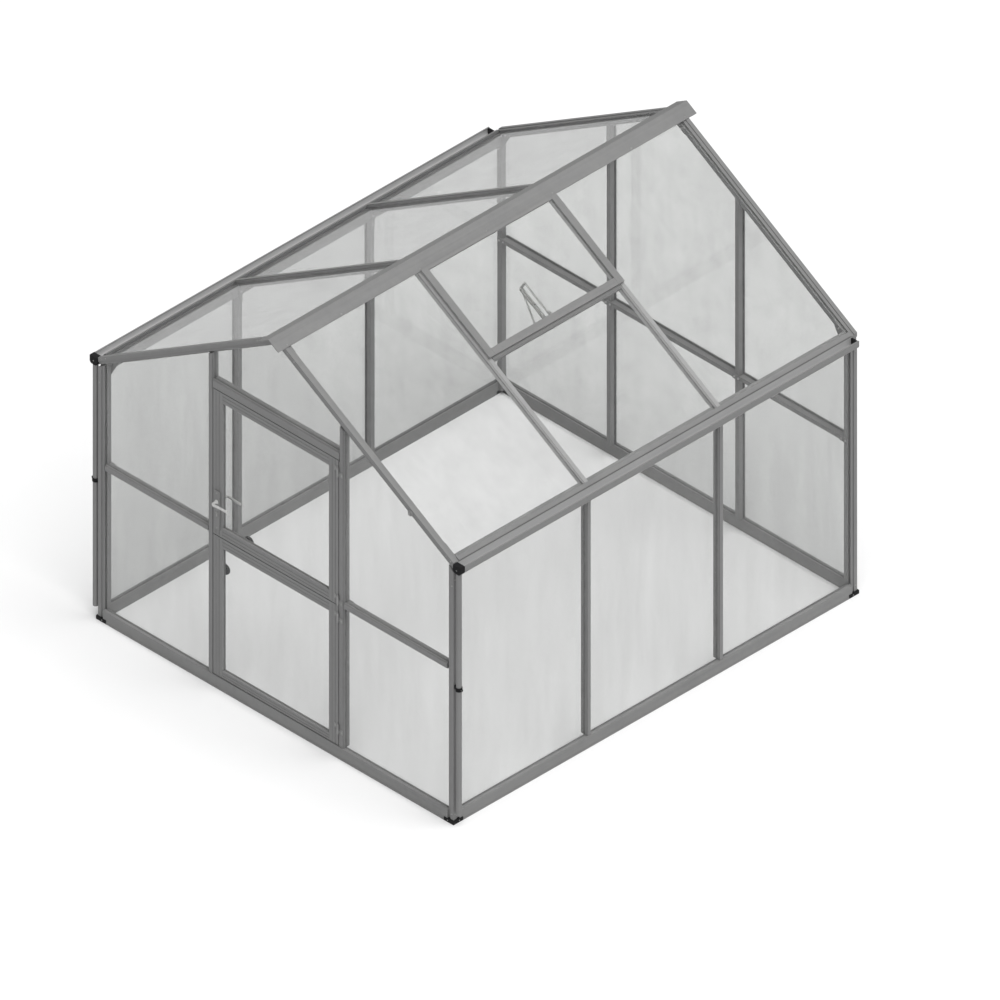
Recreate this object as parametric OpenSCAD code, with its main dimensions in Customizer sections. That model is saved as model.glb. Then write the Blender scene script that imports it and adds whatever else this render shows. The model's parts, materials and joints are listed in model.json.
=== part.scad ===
// Glass greenhouse: an aluminium frame of slotted bars, glazed with clear sheets, with a
// split door in the front gable, a roof vent on the right slope, gutters and downpipes.
// Millimetres. X runs across the gables, Y along the ridge, the door faces -Y, and the
// origin is on the ground in the middle of the base.

/* [Overall size] */
// Width over the base rails, across the gables
base_w = 2730; // [2400:10:3200]
// Length over the base rails, along the ridge
base_l = 3080; // [2600:10:4200]
// Height of the roof's outer plane above the edge of the base
eaves_h = 1720; // [1660:10:1850]
// Height of the top of the ridge
ridge_h = 2540; // [2440:10:2800]

/* [Base] */
// Height of the base rails
base_h = 76; // [60:1:90]
// How far the base rails stand out from the walls
base_ledge = 8; // [6:1:14]
// Depth of the base rail inside the wall's outer face
base_in = 30; // [26:1:44]
// Height of the drip lip along the bottom of the base rails
lip_h = 8; // [4:1:14]
// How far the drip lip stands out
lip_out = 3; // [1:0.5:5]
// Length of each arm of the corner feet
foot_arm = 75; // [66:1:110]
// Height of the corner feet
foot_h = 23; // [12:1:30]

/* [Frame bars] */
// Width of the glazing bars seen from outside
bar_face = 34; // [28:1:44]
// Width of the inner leg of the glazing bars
bar_inner = 28; // [20:1:40]
// Thickness of the web between two panes
bar_web = 12; // [8:1:16]
// Depth of the bars outside the glass
cap_d = 16; // [12:0.5:20]
// Depth of the bars inside the glass
inner_d = 31.4; // [24:0.2:44]
// Depth of the shoulder along the edges of the caps
shoulder = 6; // [2:0.5:8]
// Width of the shoulder
shoulder_w = 5; // [2:0.5:8]
// Width of the raised leg of the corner posts and rafters
corner_leg = 24; // [18:1:28]
// Width of the outer face of the corner posts and rafters
corner_face = 42; // [38:1:48]
// How far in the panes start at the corner posts and rafters
corner_slot = 32; // [28:1:36]

/* [Glass] */
// Thickness of the panes
glass_t = 4; // [3:0.5:6]
// Gap on each side of a pane in its slot
glass_fit = 0.3; // [0.2:0.05:0.6]
// Gap at the edge of a pane in its slot
glass_edge = 1; // [0.5:0.5:2]
// Depth of the slots in rails
slot_d = 12; // [8:1:16]

/* [Gable walls] */
// Height of the middle of the mid rails
mid_h = 1015; // [800:5:1200]
// Height of the mid rails seen from outside
mid_face = 40; // [32:1:50]
// Distance of the rear posts from the middle
rear_post_x = 490; // [380:5:560]

/* [Door] */
// Clear width between the door posts
door_clear = 966; // [760:2:1040]
// Height of the underside of the door's head rail
door_h = 1960; // [1900:5:2000]
// Height of the middle of the split between the leaves
split_h = 1000; // [850:5:1150]
// Height of the head rail
head_h = 50; // [40:1:60]
// Thickness of the leaves
leaf_t = 26; // [22:1:32]
// Gap round each leaf
leaf_gap = 5.5; // [5:0.5:8]
// Width of the stiles
stile_w = 72; // [55:1:85]
// Height of the rails that meet at the split and at the head
leaf_rail = 65; // [50:1:80]
// Height of the bottom rail of the lower leaf
kick_rail = 48; // [40:1:90]
// How far the door stops reach behind the leaves
door_stop = 10; // [6:1:14]
// Depth of the grooves in the faces of stiles and rails
groove_d = 2; // [1:0.5:3]
// Width of the grooves
groove_w = 4; // [2:0.5:6]

/* [Hinges] */
// Distance of the hinge axis outside the wall's face
hinge_out = 8; // [7:0.5:12]
// Radius of the hinge barrels
hinge_r = 6; // [5:0.5:6.5]
// Radius of the hinge pins
pin_r = 3; // [2.5:0.25:3.5]
// Running gap round the pins
pin_fit = 0.05; // [0.02:0.01:0.1]
// Height of a whole hinge
hinge_h = 60; // [40:2:80]
// Distance of the upper leaf's hinges from its ends
hinge_in = 36; // [34:1:90]
// Distance of the lower leaf's lower hinge from its bottom
hinge_in_low = 110; // [60:5:200]
// Width of each hinge plate
hinge_plate = 30; // [24:1:36]
// Thickness of the hinge plates
plate_t = 3; // [2:0.5:4]

/* [Door handle] */
// Height of the middle of the lever's spindle
lever_z = 1230; // [1180:5:1400]
// Length of the handle plates
lock_plate_l = 250; // [180:5:280]
// Width of the handle plates
lock_plate_w = 40; // [32:1:50]
// Thickness of the handle plates
lock_plate_t = 8; // [5:0.5:10]
// Distance from the door's face to the middle of the lever
lever_off = 48; // [40:1:56]
// Length of the lever from its spindle
lever_l = 112; // [90:1:130]
// Radius of the lever's bar
lever_r = 7; // [6:0.5:9]
// Radius of the neck and spindle
neck_r = 8; // [7:0.5:10]
// Radius of the turn knobs on the inside of the leaves
knob_r = 33; // [24:1:36]
// Height of the turn knobs
knob_h = 24; // [18:1:28]
// Distance of the upper knob from the middle of the door
knob_x = 245; // [150:5:300]
// Height of the lower knob
knob_low_z = 770; // [500:5:850]

/* [Roof] */
// Thickness of the ridge cap
ridge_t = 6; // [4:0.5:10]
// Width of the ridge cap on each slope
ridge_side = 86; // [85:1:120]
// How far the ridge cap reaches past the base at each gable
ridge_over = 48; // [40:1:80]
// Width of the ridge beam on each slope
ridge_in = 60; // [50:1:72]
// Wall thickness of the hollow ridge beam and eaves beams
tube_t = 4; // [3:0.5:6]
// Height of the eaves beams below the roof's outer plane
beam_drop = 80; // [74:1:100]
// Width of the strip of the eaves beams that lies over the panes' lower ends
eaves_strip = 22; // [16:1:30]

/* [Roof vent] */
// Length of the vent along the slope
vent_l = 612; // [400:4:640]
// Width of the vent's side rails and lower rail
vent_rail = 44; // [26:1:50]
// Width of the vent's upper rail
vent_head = 18; // [16:1:40]
// Thickness of the vent's frame
vent_t = 20; // [16:1:26]
// Gap between the vent's frame and what it lies on
vent_fit = 0.3; // [0.2:0.1:1]
// How far the vent's frame overlaps the roof bars on each side
vent_lap = 10; // [4:1:14]
// How far the vent's lower rail laps over the sill
sill_lap = 15; // [8:1:24]
// Length of the vent's opener
opener_l = 280; // [200:5:320]
// Distance between the feet of the opener on the sill
opener_splay = 100; // [60:5:160]

/* [Gutters] */
// Width of the gutters
gutter_w = 58; // [50:1:70]
// Height of the gutters
gutter_h = 50; // [42:1:56]
// Height of the gutters' underside above the underside of the eaves beams
gutter_rise = 20; // [5:1:30]
// Wall thickness of the gutters
gutter_t = 3; // [2:0.5:4]
// Radius of the gutters' bottom corners
gutter_r = 18; // [10:1:22]
// Width of the turned-in lip
gutter_lip = 8; // [5:1:12]
// Length of the outlets at the gutters' front ends
end_cap = 36; // [34:1:50]
// Distance of the outlets inside the front of the base
cap_in = 2; // [0:1:20]
// Length of the plugs in the gutters' rear ends
plug_l = 10; // [5:1:20]
// Distance of the gutters' rear ends inside the rear of the base
rear_in = 50; // [10:5:80]
// Outer radius of the downpipes
pipe_r = 16; // [12:0.5:18]
// Wall thickness of the downpipes
pipe_t = 2; // [1.5:0.5:3]
// Height of the open end of the downpipes above the ground
pipe_end = 70; // [50:5:200]
// Height of the pipe clips
clip_z = 900; // [600:10:1400]

/* [Brackets] */
// Length of the legs of the gusset plates
gusset_l = 95; // [70:5:110]
// Thickness of the brackets and gussets
gusset_t = 4; // [3:0.5:5]
// Radius of the door holder on the front right rafter
holder_r = 17; // [12:1:18]
// Distance of the door holder from the middle
holder_x = 1030; // [900:10:1100]

/* [Hidden] */
$fn = 48;

aluminium = [0.55, 0.55, 0.55];
aluminium_light = [0.62, 0.62, 0.62];
steel = [0.78, 0.78, 0.78];
black_plastic = [0.07, 0.07, 0.07];
glass_grey = [0.74, 0.74, 0.74, 0.4];

touch = 0.3;                                    // joint gap between pieces that butt
slack = 0.01;                                   // overrun of cutting shapes
half_w = base_w / 2;
half_l = base_l / 2;
slot_t = glass_t + 2 * glass_fit;
slot_out = cap_d;                               // depth of a slot's outer side
slot_in = cap_d + slot_t;                       // depth of a slot's inner side
bar_d = slot_in + inner_d;                      // whole depth of posts and bars
wall_x = half_w - base_ledge;                   // outer face of the side walls
wall_y = half_l - base_ledge;                   // outer face of the gable walls
base_d = base_ledge + base_in;
pane_mid = slot_out + glass_fit;                // depth of a pane's outer face

pitch = atan((ridge_h - eaves_h) / half_w);
roof_z = ridge_h - ridge_t / cos(pitch);        // where the rafters' outer planes meet
rafter_end = (wall_x + bar_d * sin(pitch)) / cos(pitch);
bar_end = (wall_x - bar_d - touch + slot_in * sin(pitch)) / cos(pitch);
pane_top = ridge_in - slot_d + glass_edge;
pane_end = (wall_x - tube_t - glass_edge + pane_mid * sin(pitch)) / cos(pitch);
beam_z = eaves_h - beam_drop;                   // underside of the eaves beams

// Panes between the corner slots are equal, so the bars follow from the length
side_pane = (2 * (wall_y - corner_slot) - 2 * bar_web) / 3;
bar_y = side_pane / 2 + bar_web / 2;
post_x = door_clear / 2 + bar_face / 2;         // middle of the door posts
split_low = split_h - leaf_gap / 2;
split_up = split_h + leaf_gap / 2;
leaf_half = door_clear / 2 - leaf_gap;
leaf_bottom = base_h + leaf_gap;
leaf_top = door_h - leaf_gap;
stop_d = leaf_t + leaf_gap;                     // depth of the door stops' faces
leaf_slot = (leaf_t - slot_t) / 2;              // depth of the slot in the leaves
hinge_x = door_clear / 2 - leaf_gap / 2;        // hinge axis, in the middle of the gap
knuckle = hinge_h / 2;
lever_x = -leaf_half + stile_w / 2;             // the spindle is in the middle of the stile

vent_top = ridge_side + touch;
vent_end = vent_top + vent_l;
vent_half = bar_y + vent_lap;
vent_slot = (vent_t - slot_t) / 2;
sill_s = vent_end + bar_face / 2 - sill_lap;    // middle of the cross bar under the vent
gutter_x = wall_x + touch;                      // back of the gutters
gutter_z = beam_z + gutter_rise;
pipe_x = gutter_x + gutter_w / 2;               // the pipes are under the outlets
pipe_y = -half_l + cap_in + end_cap / 2;

// ---- Outlines ----

// A point of a gable's plan at distance s down the slope and depth n below it
function slope(s, n) = [s * cos(pitch) - n * sin(pitch), roof_z - s * sin(pitch) - n * cos(pitch)];
// Height of the plane at depth n under the slope, at a distance x from the middle
function under(x, n) = roof_z - abs(x) * tan(pitch) - n / cos(pitch);

// A glazing bar seen from its end: x across, y inwards from the outer face
function bar_outline(face) =
    let (h = face / 2, g = face / 2 - shoulder_w, w = bar_web / 2, i = bar_inner / 2)
    [[-g, 0], [g, 0], [g, shoulder], [h, shoulder], [h, slot_out], [w, slot_out], [w, slot_in],
     [i, slot_in], [i, bar_d], [-i, bar_d], [-i, slot_in], [-w, slot_in], [-w, slot_out],
     [-h, slot_out], [-h, shoulder], [-g, shoulder]];

// The same bar cut off at depth n, before its inner leg
function cap_outline(face, n) =
    let (h = face / 2, g = face / 2 - shoulder_w, w = bar_web / 2)
    [[-g, 0], [g, 0], [g, shoulder], [h, shoulder], [h, slot_out], [w, slot_out], [w, n],
     [-w, n], [-w, slot_out], [-h, slot_out], [-h, shoulder], [-g, shoulder]];

// A door post beside the door: glass slot on the -x side, door stop on the +x side
function door_post_outline() =
    let (h = bar_face / 2, g = bar_face / 2 - shoulder_w, w = bar_web / 2, i = bar_inner / 2)
    [[-g, 0], [h, 0], [h, stop_d], [h + door_stop, stop_d], [h + door_stop, bar_d], [-i, bar_d],
     [-i, slot_in], [-w, slot_in], [-w, slot_out], [-h, slot_out], [-h, shoulder], [-g, shoulder]];

// The door's head rail, x inwards and y up from its underside: slot above, stop below
function head_outline() =
    [[0, 0], [stop_d, 0], [stop_d, -door_stop], [bar_d, -door_stop], [bar_d, head_h],
     [slot_in, head_h], [slot_in, head_h - slot_d], [slot_out, head_h - slot_d],
     [slot_out, head_h], [shoulder, head_h], [shoulder, head_h - shoulder_w],
     [0, head_h - shoulder_w]];

// Corner posts and gable rafters hold two panes at right angles
function corner_outline() =
    [[0, 0], [corner_leg, 0], [corner_leg, shoulder], [corner_face, shoulder],
     [corner_face, slot_out], [corner_slot, slot_out], [corner_slot, slot_in],
     [bar_d, slot_in], [bar_d, bar_d], [slot_in, bar_d], [slot_in, corner_slot],
     [slot_out, corner_slot], [slot_out, corner_face], [shoulder, corner_face],
     [shoulder, corner_leg], [0, corner_leg]];

// The base rails, x inwards from the wall's outer face and y up
function base_outline() =
    let (o = -base_ledge, f = lip_out - base_ledge)
    [[o, 0], [base_in, 0], [base_in, base_h], [slot_in, base_h], [slot_in, base_h - slot_d],
     [slot_out, base_h - slot_d], [slot_out, base_h], [f, base_h], [f, lip_h], [o, lip_h]];

// A door member of width w with its slot at x = w and two grooves in its outer face
function leaf_outline(w) =
    let (a = w * 0.28, b = w * 0.62)
    [[0, 0], [a, 0], [a, groove_d], [a + groove_w, groove_d], [a + groove_w, 0],
     [b, 0], [b, groove_d], [b + groove_w, groove_d], [b + groove_w, 0], [w, 0],
     [w, leaf_slot], [w - slot_d, leaf_slot], [w - slot_d, leaf_slot + slot_t],
     [w, leaf_slot + slot_t], [w, leaf_t], [0, leaf_t]];

// A vent rail of width w with its slot at x = w
function vent_outline(w) =
    [[0, 0], [w, 0], [w, vent_slot], [w - slot_d, vent_slot],
     [w - slot_d, vent_slot + slot_t], [w, vent_slot + slot_t], [w, vent_t], [0, vent_t]];

function swapped(pts) = [for (p = pts) [p[1], p[0]]];
function left_of(pts) = [for (p = pts) [-p[0], p[1]]];

// Points of a quarter circle from angle a0, about c
function quarter(c, r, a0) = [for (i = [0 : 6]) [c[0] + r * cos(a0 + 15 * i), c[1] + r * sin(a0 + 15 * i)]];

// ---- Places: each turns a local frame onto a wall or a slope ----

// On a wall, x runs along it, y inwards from its outer face and z up
module on_front() translate([0, -wall_y, 0]) children();
module on_rear() mirror([0, 1, 0]) on_front() children();
module on_right() translate([wall_x, 0, 0]) rotate([0, 0, 90]) children();
module on_left() mirror([1, 0, 0]) on_right() children();
// On a slope, x runs down it, y along the ridge and z outwards
module on_roof_right() translate([0, 0, roof_z]) rotate([0, pitch, 0]) children();
module on_roof_left() mirror([1, 0, 0]) on_roof_right() children();
module both_x() { children(); mirror([1, 0, 0]) children(); }
module both_y() { children(); mirror([0, 1, 0]) children(); }

// A post on a wall from z0 to z1
module upright(z0, z1, pts) translate([0, 0, z0]) linear_extrude(z1 - z0) polygon(pts);
// A rail on a wall from x0 to x1, its outline being [inwards, up]
module rail(x0, x1, z, pts)
    translate([x0, 0, z]) rotate([90, 0, 90]) linear_extrude(x1 - x0) polygon(pts);
// A bar down a slope from s0 to s1, its outline being [along the ridge, inwards]
module slope_bar(s0, s1, pts)
    translate([s1, 0, 0]) rotate([-90, 0, 90]) linear_extrude(s1 - s0) polygon(pts);
// A cross bar on a slope, its outline being [down the slope, inwards]
module slope_cross(y0, y1, s, pts)
    translate([s, y1, 0]) rotate([90, 0, 0]) linear_extrude(y1 - y0) mirror([0, 1]) polygon(pts);
// A flat piece parallel to a gable, its outline being [across, up]
module gable_sheet(w0, t, pts)
    translate([0, w0 + t, 0]) rotate([90, 0, 0]) linear_extrude(t) polygon(pts);

// Keeps what lies under depth n of both slopes
module below_roof(n) {
    difference() {
        children();
        both_x() on_roof_right()
            translate([-ridge_h, -base_l, -n]) cube([base_w + ridge_h, 2 * base_l, ridge_h]);
    }
}

// ---- Base ----

// The rails run between the corner posts, and rest on the feet
module base_rail(half) {
    edge = half - base_ledge;
    difference() {
        rail(corner_face + touch - edge, edge - corner_face - touch, 0, base_outline());
        both_x() {
            translate([edge - bar_d - touch, slot_in - touch, -slack])
                cube([bar_d, bar_d, base_h + 1]);
            translate([half - foot_arm, -base_ledge - slack, -slack])
                cube([foot_arm, base_d + 1, foot_h + slack]);
        }
    }
}

module base_rail_front() color(aluminium) on_front() base_rail(half_w);
module base_rail_rear() color(aluminium) on_rear() base_rail(half_w);
module base_rail_left() color(aluminium) on_left() base_rail(half_l);
module base_rail_right() color(aluminium) on_right() base_rail(half_l);

module base_corner_feet() color(black_plastic) both_x() both_y()
    translate([-half_w, -half_l, 0]) linear_extrude(foot_h)
        polygon([[0, 0], [foot_arm, 0], [foot_arm, base_d], [base_d, base_d],
                 [base_d, foot_arm], [0, foot_arm]]);

// ---- Walls ----

module corner_posts() both_x() below_roof(bar_d)
    translate([-wall_x, -wall_y, foot_h]) linear_extrude(eaves_h) polygon(corner_outline());

module corner_posts_front() color(aluminium) corner_posts();
module corner_posts_rear() color(aluminium) mirror([0, 1, 0]) corner_posts();

module side_bars() for (y = [-bar_y, bar_y])
    translate([y, 0, 0]) upright(base_h, beam_z, bar_outline(bar_face));

module side_bars_left() color(aluminium_light) on_left() side_bars();
module side_bars_right() color(aluminium_light) on_right() side_bars();

// Over the door's head rail the post has a slot on both sides
module door_post() below_roof(bar_d) on_front() translate([-post_x, 0, 0]) {
    change = door_h - door_stop - touch;
    upright(base_h, change, door_post_outline());
    upright(change, ridge_h, bar_outline(bar_face));
}

module door_post_left() color(aluminium) door_post();
module door_post_right() color(aluminium) mirror([1, 0, 0]) door_post();

module door_head_rail() color(aluminium) on_front()
    rail(touch - door_clear / 2, door_clear / 2 - touch, door_h, head_outline());

module rear_posts() color(aluminium) below_roof(bar_d) on_rear() both_x()
    translate([-rear_post_x, 0, 0]) upright(base_h, ridge_h, bar_outline(bar_face));

module mid_rail(x0, x1) rail(x0, x1, mid_h, swapped(bar_outline(mid_face)));

module front_mid_rails() color(aluminium_light) on_front() both_x()
    mid_rail(-wall_x + bar_d + touch, -post_x - bar_face / 2 - touch);

module rear_mid_rails() color(aluminium_light) on_rear() {
    both_x() mid_rail(-wall_x + bar_d + touch, -rear_post_x - bar_face / 2 - touch);
    mid_rail(-rear_post_x + bar_face / 2 + touch, rear_post_x - bar_face / 2 - touch);
}

// ---- Eaves ----

// Height over an eaves beam's underside of the plane at depth n, u inside the wall's face
function over_beam(u, n) = under(wall_x - u, n) - beam_z;

// Hollow beam between the gusset plates, with a strip from rafter to rafter that holds
// the lower ends of the roof panes
module eaves_beam() {
    body = wall_y - bar_d - gusset_t - touch;
    strip = wall_y - corner_face - touch;
    t = tube_t;
    w = eaves_strip;
    d = bar_d;
    mid = (slot_out + slot_in) / 2;
    on_right() difference() {
        rail(-strip, strip, beam_z,
             [[0, 0], [slot_out, 0], [slot_out, slot_d], [slot_in, slot_d], [slot_in, 0],
              [d, 0], [d, over_beam(d, slot_in)], [t, over_beam(t, slot_in)],
              [t, over_beam(t, slot_out)], [w, over_beam(w, slot_out)], [w, over_beam(w, 0)],
              [0, over_beam(0, 0)]]);
        rail(-half_l, half_l, beam_z,
             [[t, slot_d + t], [d - t, slot_d + t], [d - t, over_beam(d - t, slot_in) - t],
              [t, over_beam(t, slot_in) - t]]);
        both_x() rail(body, half_l, beam_z,
             [[-1, -1], [d + 1, -1], [d + 1, over_beam(d + 1, mid)], [-1, over_beam(-1, mid)]]);
    }
}

module eaves_beam_right() color(aluminium_light) eaves_beam();
module eaves_beam_left() color(aluminium) mirror([1, 0, 0]) eaves_beam();

// The channel's outline, [outwards from its back, up from its underside]
function gutter_outline() =
    let (w = gutter_w, r = gutter_r, t = gutter_t, h = gutter_h)
    concat([[0, 0]], quarter([w - r, r], r, -90),
           [[w, h], [w - gutter_lip, h], [w - gutter_lip, h - t], [w - t, h - t]],
           [for (p = quarter([w - r, r], r - t, 0)) [p[0], 2 * r - p[1]]],
           [[t, t], [t, h], [0, h]]);

module gutter() {
    front = half_l - cap_in - end_cap - touch;
    translate([gutter_x, 0, gutter_z])
        gable_sheet(-front, front + half_l - rear_in, gutter_outline());
}

module gutter_right() color(aluminium_light) gutter();
module gutter_left() color(aluminium) mirror([1, 0, 0]) gutter();

// A gutter's section up to the height top, with walls of thickness t taken off
function trough_outline(t, top) =
    let (w = gutter_w, r = gutter_r)
    concat(quarter([w - r, r], r - t, -90), [[w - t, top], [t, top]], quarter([r, r], r - t, 180));

// The front ends are boxes open to their gutters and at the top, with the outlets in their
// floors, and the rear ends are plugs
module gutter_end_caps() color(black_plastic) both_x() {
    t = gutter_t;
    translate([gutter_x, cap_in - half_l, gutter_z]) difference() {
        gable_sheet(0, end_cap, trough_outline(0, gutter_h));
        gable_sheet(t, end_cap, trough_outline(t, gutter_h + 1));
        translate([gutter_w / 2, end_cap / 2, -1]) cylinder(r = pipe_r - pipe_t, h = t + 3);
    }
    translate([gutter_x, half_l - rear_in - plug_l, gutter_z])
        gable_sheet(0, plug_l, trough_outline(t + touch, gutter_h - t - touch));
}

module downpipe() translate([pipe_x, pipe_y, pipe_end]) difference() {
    cylinder(r = pipe_r, h = gutter_z - touch - pipe_end);
    translate([0, 0, -1]) cylinder(r = pipe_r - pipe_t, h = gutter_z);
}

module downpipe_right() color(aluminium_light) downpipe();
module downpipe_left() color(aluminium) mirror([1, 0, 0]) downpipe();

// Each clip holds its pipe to the corner post, with an ear at its front and at its side
module downpipe_clips() color(black_plastic) both_x() {
    ring = pipe_r + 4;
    clip_h = 24;
    ear = 8;
    translate([pipe_x, pipe_y, clip_z - clip_h / 2]) difference() {
        union() {
            cylinder(r = ring, h = clip_h);
            translate([wall_x + touch - pipe_x, -ear, 0])
                cube([pipe_x - wall_x - touch, 2 * ear, clip_h]);
            translate([pipe_r, -ear / 2, clip_h / 4]) cube([1.5 * ear, ear, clip_h / 2]);
        }
        translate([0, 0, -1]) cylinder(r = pipe_r + touch, h = clip_h + 2);
    }
}

// ---- Roof frame ----

module rafters() both_x() intersection() {
    on_roof_right() translate([0, -wall_y, 0]) slope_bar(-ridge_in, rafter_end, corner_outline());
    translate([touch / 2, -base_l, 0]) cube([wall_x - touch / 2, 2 * base_l, 2 * ridge_h]);
}

module rafters_front() color(aluminium) rafters();
module rafters_rear() color(aluminium) mirror([0, 1, 0]) rafters();

// The cap runs on over the eaves beam to its strip, and the inner leg stops at the beam
module roof_bars() intersection() {
    on_roof_right() for (y = [-bar_y, bar_y]) translate([0, y, 0]) {
        slope_bar(ridge_in + touch, bar_end, bar_outline(bar_face));
        slope_bar(ridge_in + touch, pane_end, cap_outline(bar_face, slot_in - touch));
    }
    translate([0, -base_l, 0])
        cube([wall_x - eaves_strip - touch, 2 * base_l, 2 * ridge_h]);
}

module roof_bars_right() color(aluminium_light) roof_bars();
module roof_bars_left() color(aluminium_light) mirror([1, 0, 0]) roof_bars();

// The ridge: a cap over both slopes, and a hollow slotted beam between the rafters
module ridge_beam() color(aluminium_light) {
    long = half_l + ridge_over;
    short = wall_y - bar_d - gusset_t - touch;
    w = ridge_side;
    r = ridge_in;
    t = tube_t;
    cap = [slope(-ridge_t * tan(pitch), -ridge_t), slope(w, -ridge_t), slope(w, 0)];
    beam = [slope(r, -ridge_t / 2), slope(r, slot_out), slope(r - slot_d, slot_out),
            slope(r - slot_d, slot_in), slope(r, slot_in), slope(r, bar_d - t)];
    hole = [slope(r - slot_d - t, slot_out), slope(r - slot_d - t, bar_d - 2 * t)];
    gable_sheet(-long, 2 * long, concat(cap, [slope(0, 0)], left_of([cap[2], cap[1]])));
    difference() {
        gable_sheet(-short, 2 * short,
            concat([[0, roof_z + ridge_t / 2]], beam, left_of([for (i = [5 : -1 : 0]) beam[i]])));
        gable_sheet(-2 * short, 4 * short,
            concat([[0, under(0, 0) - 2 * t]], hole, left_of([hole[1], hole[0]])));
    }
}

// ---- Roof vent ----

module vent_sill() color(aluminium_light) on_roof_right()
    slope_cross(-bar_y + bar_face / 2 + touch, bar_y - bar_face / 2 - touch, sill_s,
                bar_outline(bar_face));

module vent_side_rails() color(aluminium_light) on_roof_right() both_y()
    translate([0, -vent_half, vent_t + vent_fit])
        slope_bar(vent_top, vent_end, vent_outline(vent_rail));

module vent_cross_rails() color(aluminium_light) on_roof_right()
    translate([0, 0, vent_t + vent_fit]) {
        y = vent_half - vent_rail - touch;
        slope_cross(-y, y, vent_top, vent_outline(vent_head));
        slope_cross(-y, y, vent_end, left_of(vent_outline(vent_rail)));
    }

module vent_glass() color(glass_grey) on_roof_right() {
    cover = slot_d - glass_edge;                // depth of the pane in the rails
    y = vent_half - vent_rail + cover;
    translate([vent_top + vent_head - cover, -y, vent_fit + vent_slot + glass_fit])
        cube([vent_l - vent_head - vent_rail + 2 * cover, 2 * y, glass_t]);
}

// An arm up to the vent's lower rail, an arm and a splayed stay down to the sill, all
// joined by a pivot at their upper end, and a cylinder
module vent_opener() color(steel) on_roof_right() {
    arm = 12;
    plate = 4;
    low = bar_d + 6;
    foot = 10;
    pivot_s = sill_s - opener_l;
    stay = atan(opener_splay / opener_l);
    // the lower arm and the stay are clamped under the sill
    translate([pivot_s, -arm / 2, -low - plate]) cube([opener_l + 12, arm, plate]);
    translate([pivot_s, 0, -low - 2 * plate]) rotate([0, 0, -stay]) translate([0, -arm / 2, 0])
        cube([opener_l / cos(stay) + 8, arm, plate]);
    translate([sill_s - 12, -arm, -low - plate / 2]) cube([24, 2 * arm, low + plate / 2 - bar_d - touch]);
    translate([sill_s - 12, -opener_splay - arm, -low - 1.5 * plate])
        cube([24, 2 * arm, low + 1.5 * plate - bar_d - touch]);
    // the upper arm carries the vent's lower rail
    rail_s = vent_end - vent_rail - touch;
    translate([pivot_s, -arm / 2, -foot - plate]) cube([rail_s - pivot_s, arm, plate]);
    translate([rail_s - 24, -arm / 2, -foot - 1]) cube([24, arm, foot + vent_slot - 1]);
    // pivot block and cylinder
    translate([pivot_s, -arm / 2, -low - 2 * plate]) cube([arm, arm, low + 2 * plate - foot]);
    translate([pivot_s + arm / 2, 0, -low - 18]) rotate([0, 90, 0]) cylinder(r = 8, h = opener_l * 0.8);
    translate([pivot_s + 1, -3, -low - 18]) cube([opener_l * 0.7, 6, 17]);
}

// ---- Brackets ----

// Chamfered plates on the inside of the gables, over the joint of post and rafter
module gusset_plates() color(aluminium_light) both_y() on_front() {
    x1 = wall_x - slot_in - touch;
    x0 = wall_x - bar_d;
    x2 = x0 - gusset_l * 0.7;
    n = slot_in + 1;
    z0 = under(x1, n) - gusset_l;
    both_x() gable_sheet(bar_d, gusset_t,
        [[x1, z0], [x1, under(x1, n)], [x2, under(x2, n)], [x2, under(x2, bar_d)], [x0, z0]]);
    gable_sheet(bar_d, gusset_t,
        [[0, under(0, n)], [gusset_l, under(gusset_l, n)], [gusset_l, under(gusset_l, bar_d)],
         [0, under(0, bar_d)], [-gusset_l, under(gusset_l, bar_d)], [-gusset_l, under(gusset_l, n)]]);
}

// Plates that join the side bars to the eaves beams
module eaves_brackets() color(aluminium_light) both_x() on_right() for (y = [-bar_y, bar_y])
    translate([y - bar_inner / 2, bar_d, beam_z - gusset_l / 2])
        cube([bar_inner, gusset_t, gusset_l]);

// Plates over the ends of the mid rails
module mid_rail_cleats() color(aluminium_light) {
    w = gusset_l / 3;
    on_front() both_x() for (x = [wall_x - bar_d, post_x + bar_inner / 2])
        translate([x - w, bar_d, mid_h - w / 2]) cube([2 * w, gusset_t, w]);
    on_rear() both_x() for (x = [wall_x - bar_d, rear_post_x])
        translate([x - w, bar_d, mid_h - w / 2]) cube([2 * w, gusset_t, w]);
}

// Catch on the front right rafter that holds the open door
module door_holder() color(steel) on_front()
    translate([holder_x, 0, under(holder_x, bar_d / 2)]) rotate([90, 0, 0]) {
        cylinder(r = holder_r, h = 6);
        cylinder(r = holder_r / 2, h = 14);
    }

// ---- Glass ----

// A pane on a wall between x0, x1 and z0, z1, which are the bottoms of its slots
module wall_pane(x0, x1, z0, z1) translate([x0 + glass_edge, pane_mid, z0 + glass_edge])
    cube([x1 - x0 - 2 * glass_edge, glass_t, z1 - z0 - 2 * glass_edge]);

// A pane on a gable whose top follows the slopes, at the depth of the rafters' slots
module gable_pane(x0, x1, z0) {
    a = x0 + glass_edge;
    b = x1 - glass_edge;
    n = corner_slot + glass_edge;
    peak = a < 0 && b > 0 ? [[0, under(0, n)]] : [];
    gable_sheet(pane_mid, glass_t,
        concat([[a, z0 + glass_edge], [b, z0 + glass_edge], [b, under(b, n)]], peak,
               [[a, under(a, n)]]));
}

module side_panes() for (y = [-1, 0, 1]) {
    mid = y * (side_pane + bar_web);
    wall_pane(mid - side_pane / 2, mid + side_pane / 2, base_h - slot_d, beam_z + slot_d);
}

module glass_left_wall() color(glass_grey) on_left() side_panes();
module glass_right_wall() color(glass_grey) on_right() side_panes();

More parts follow.
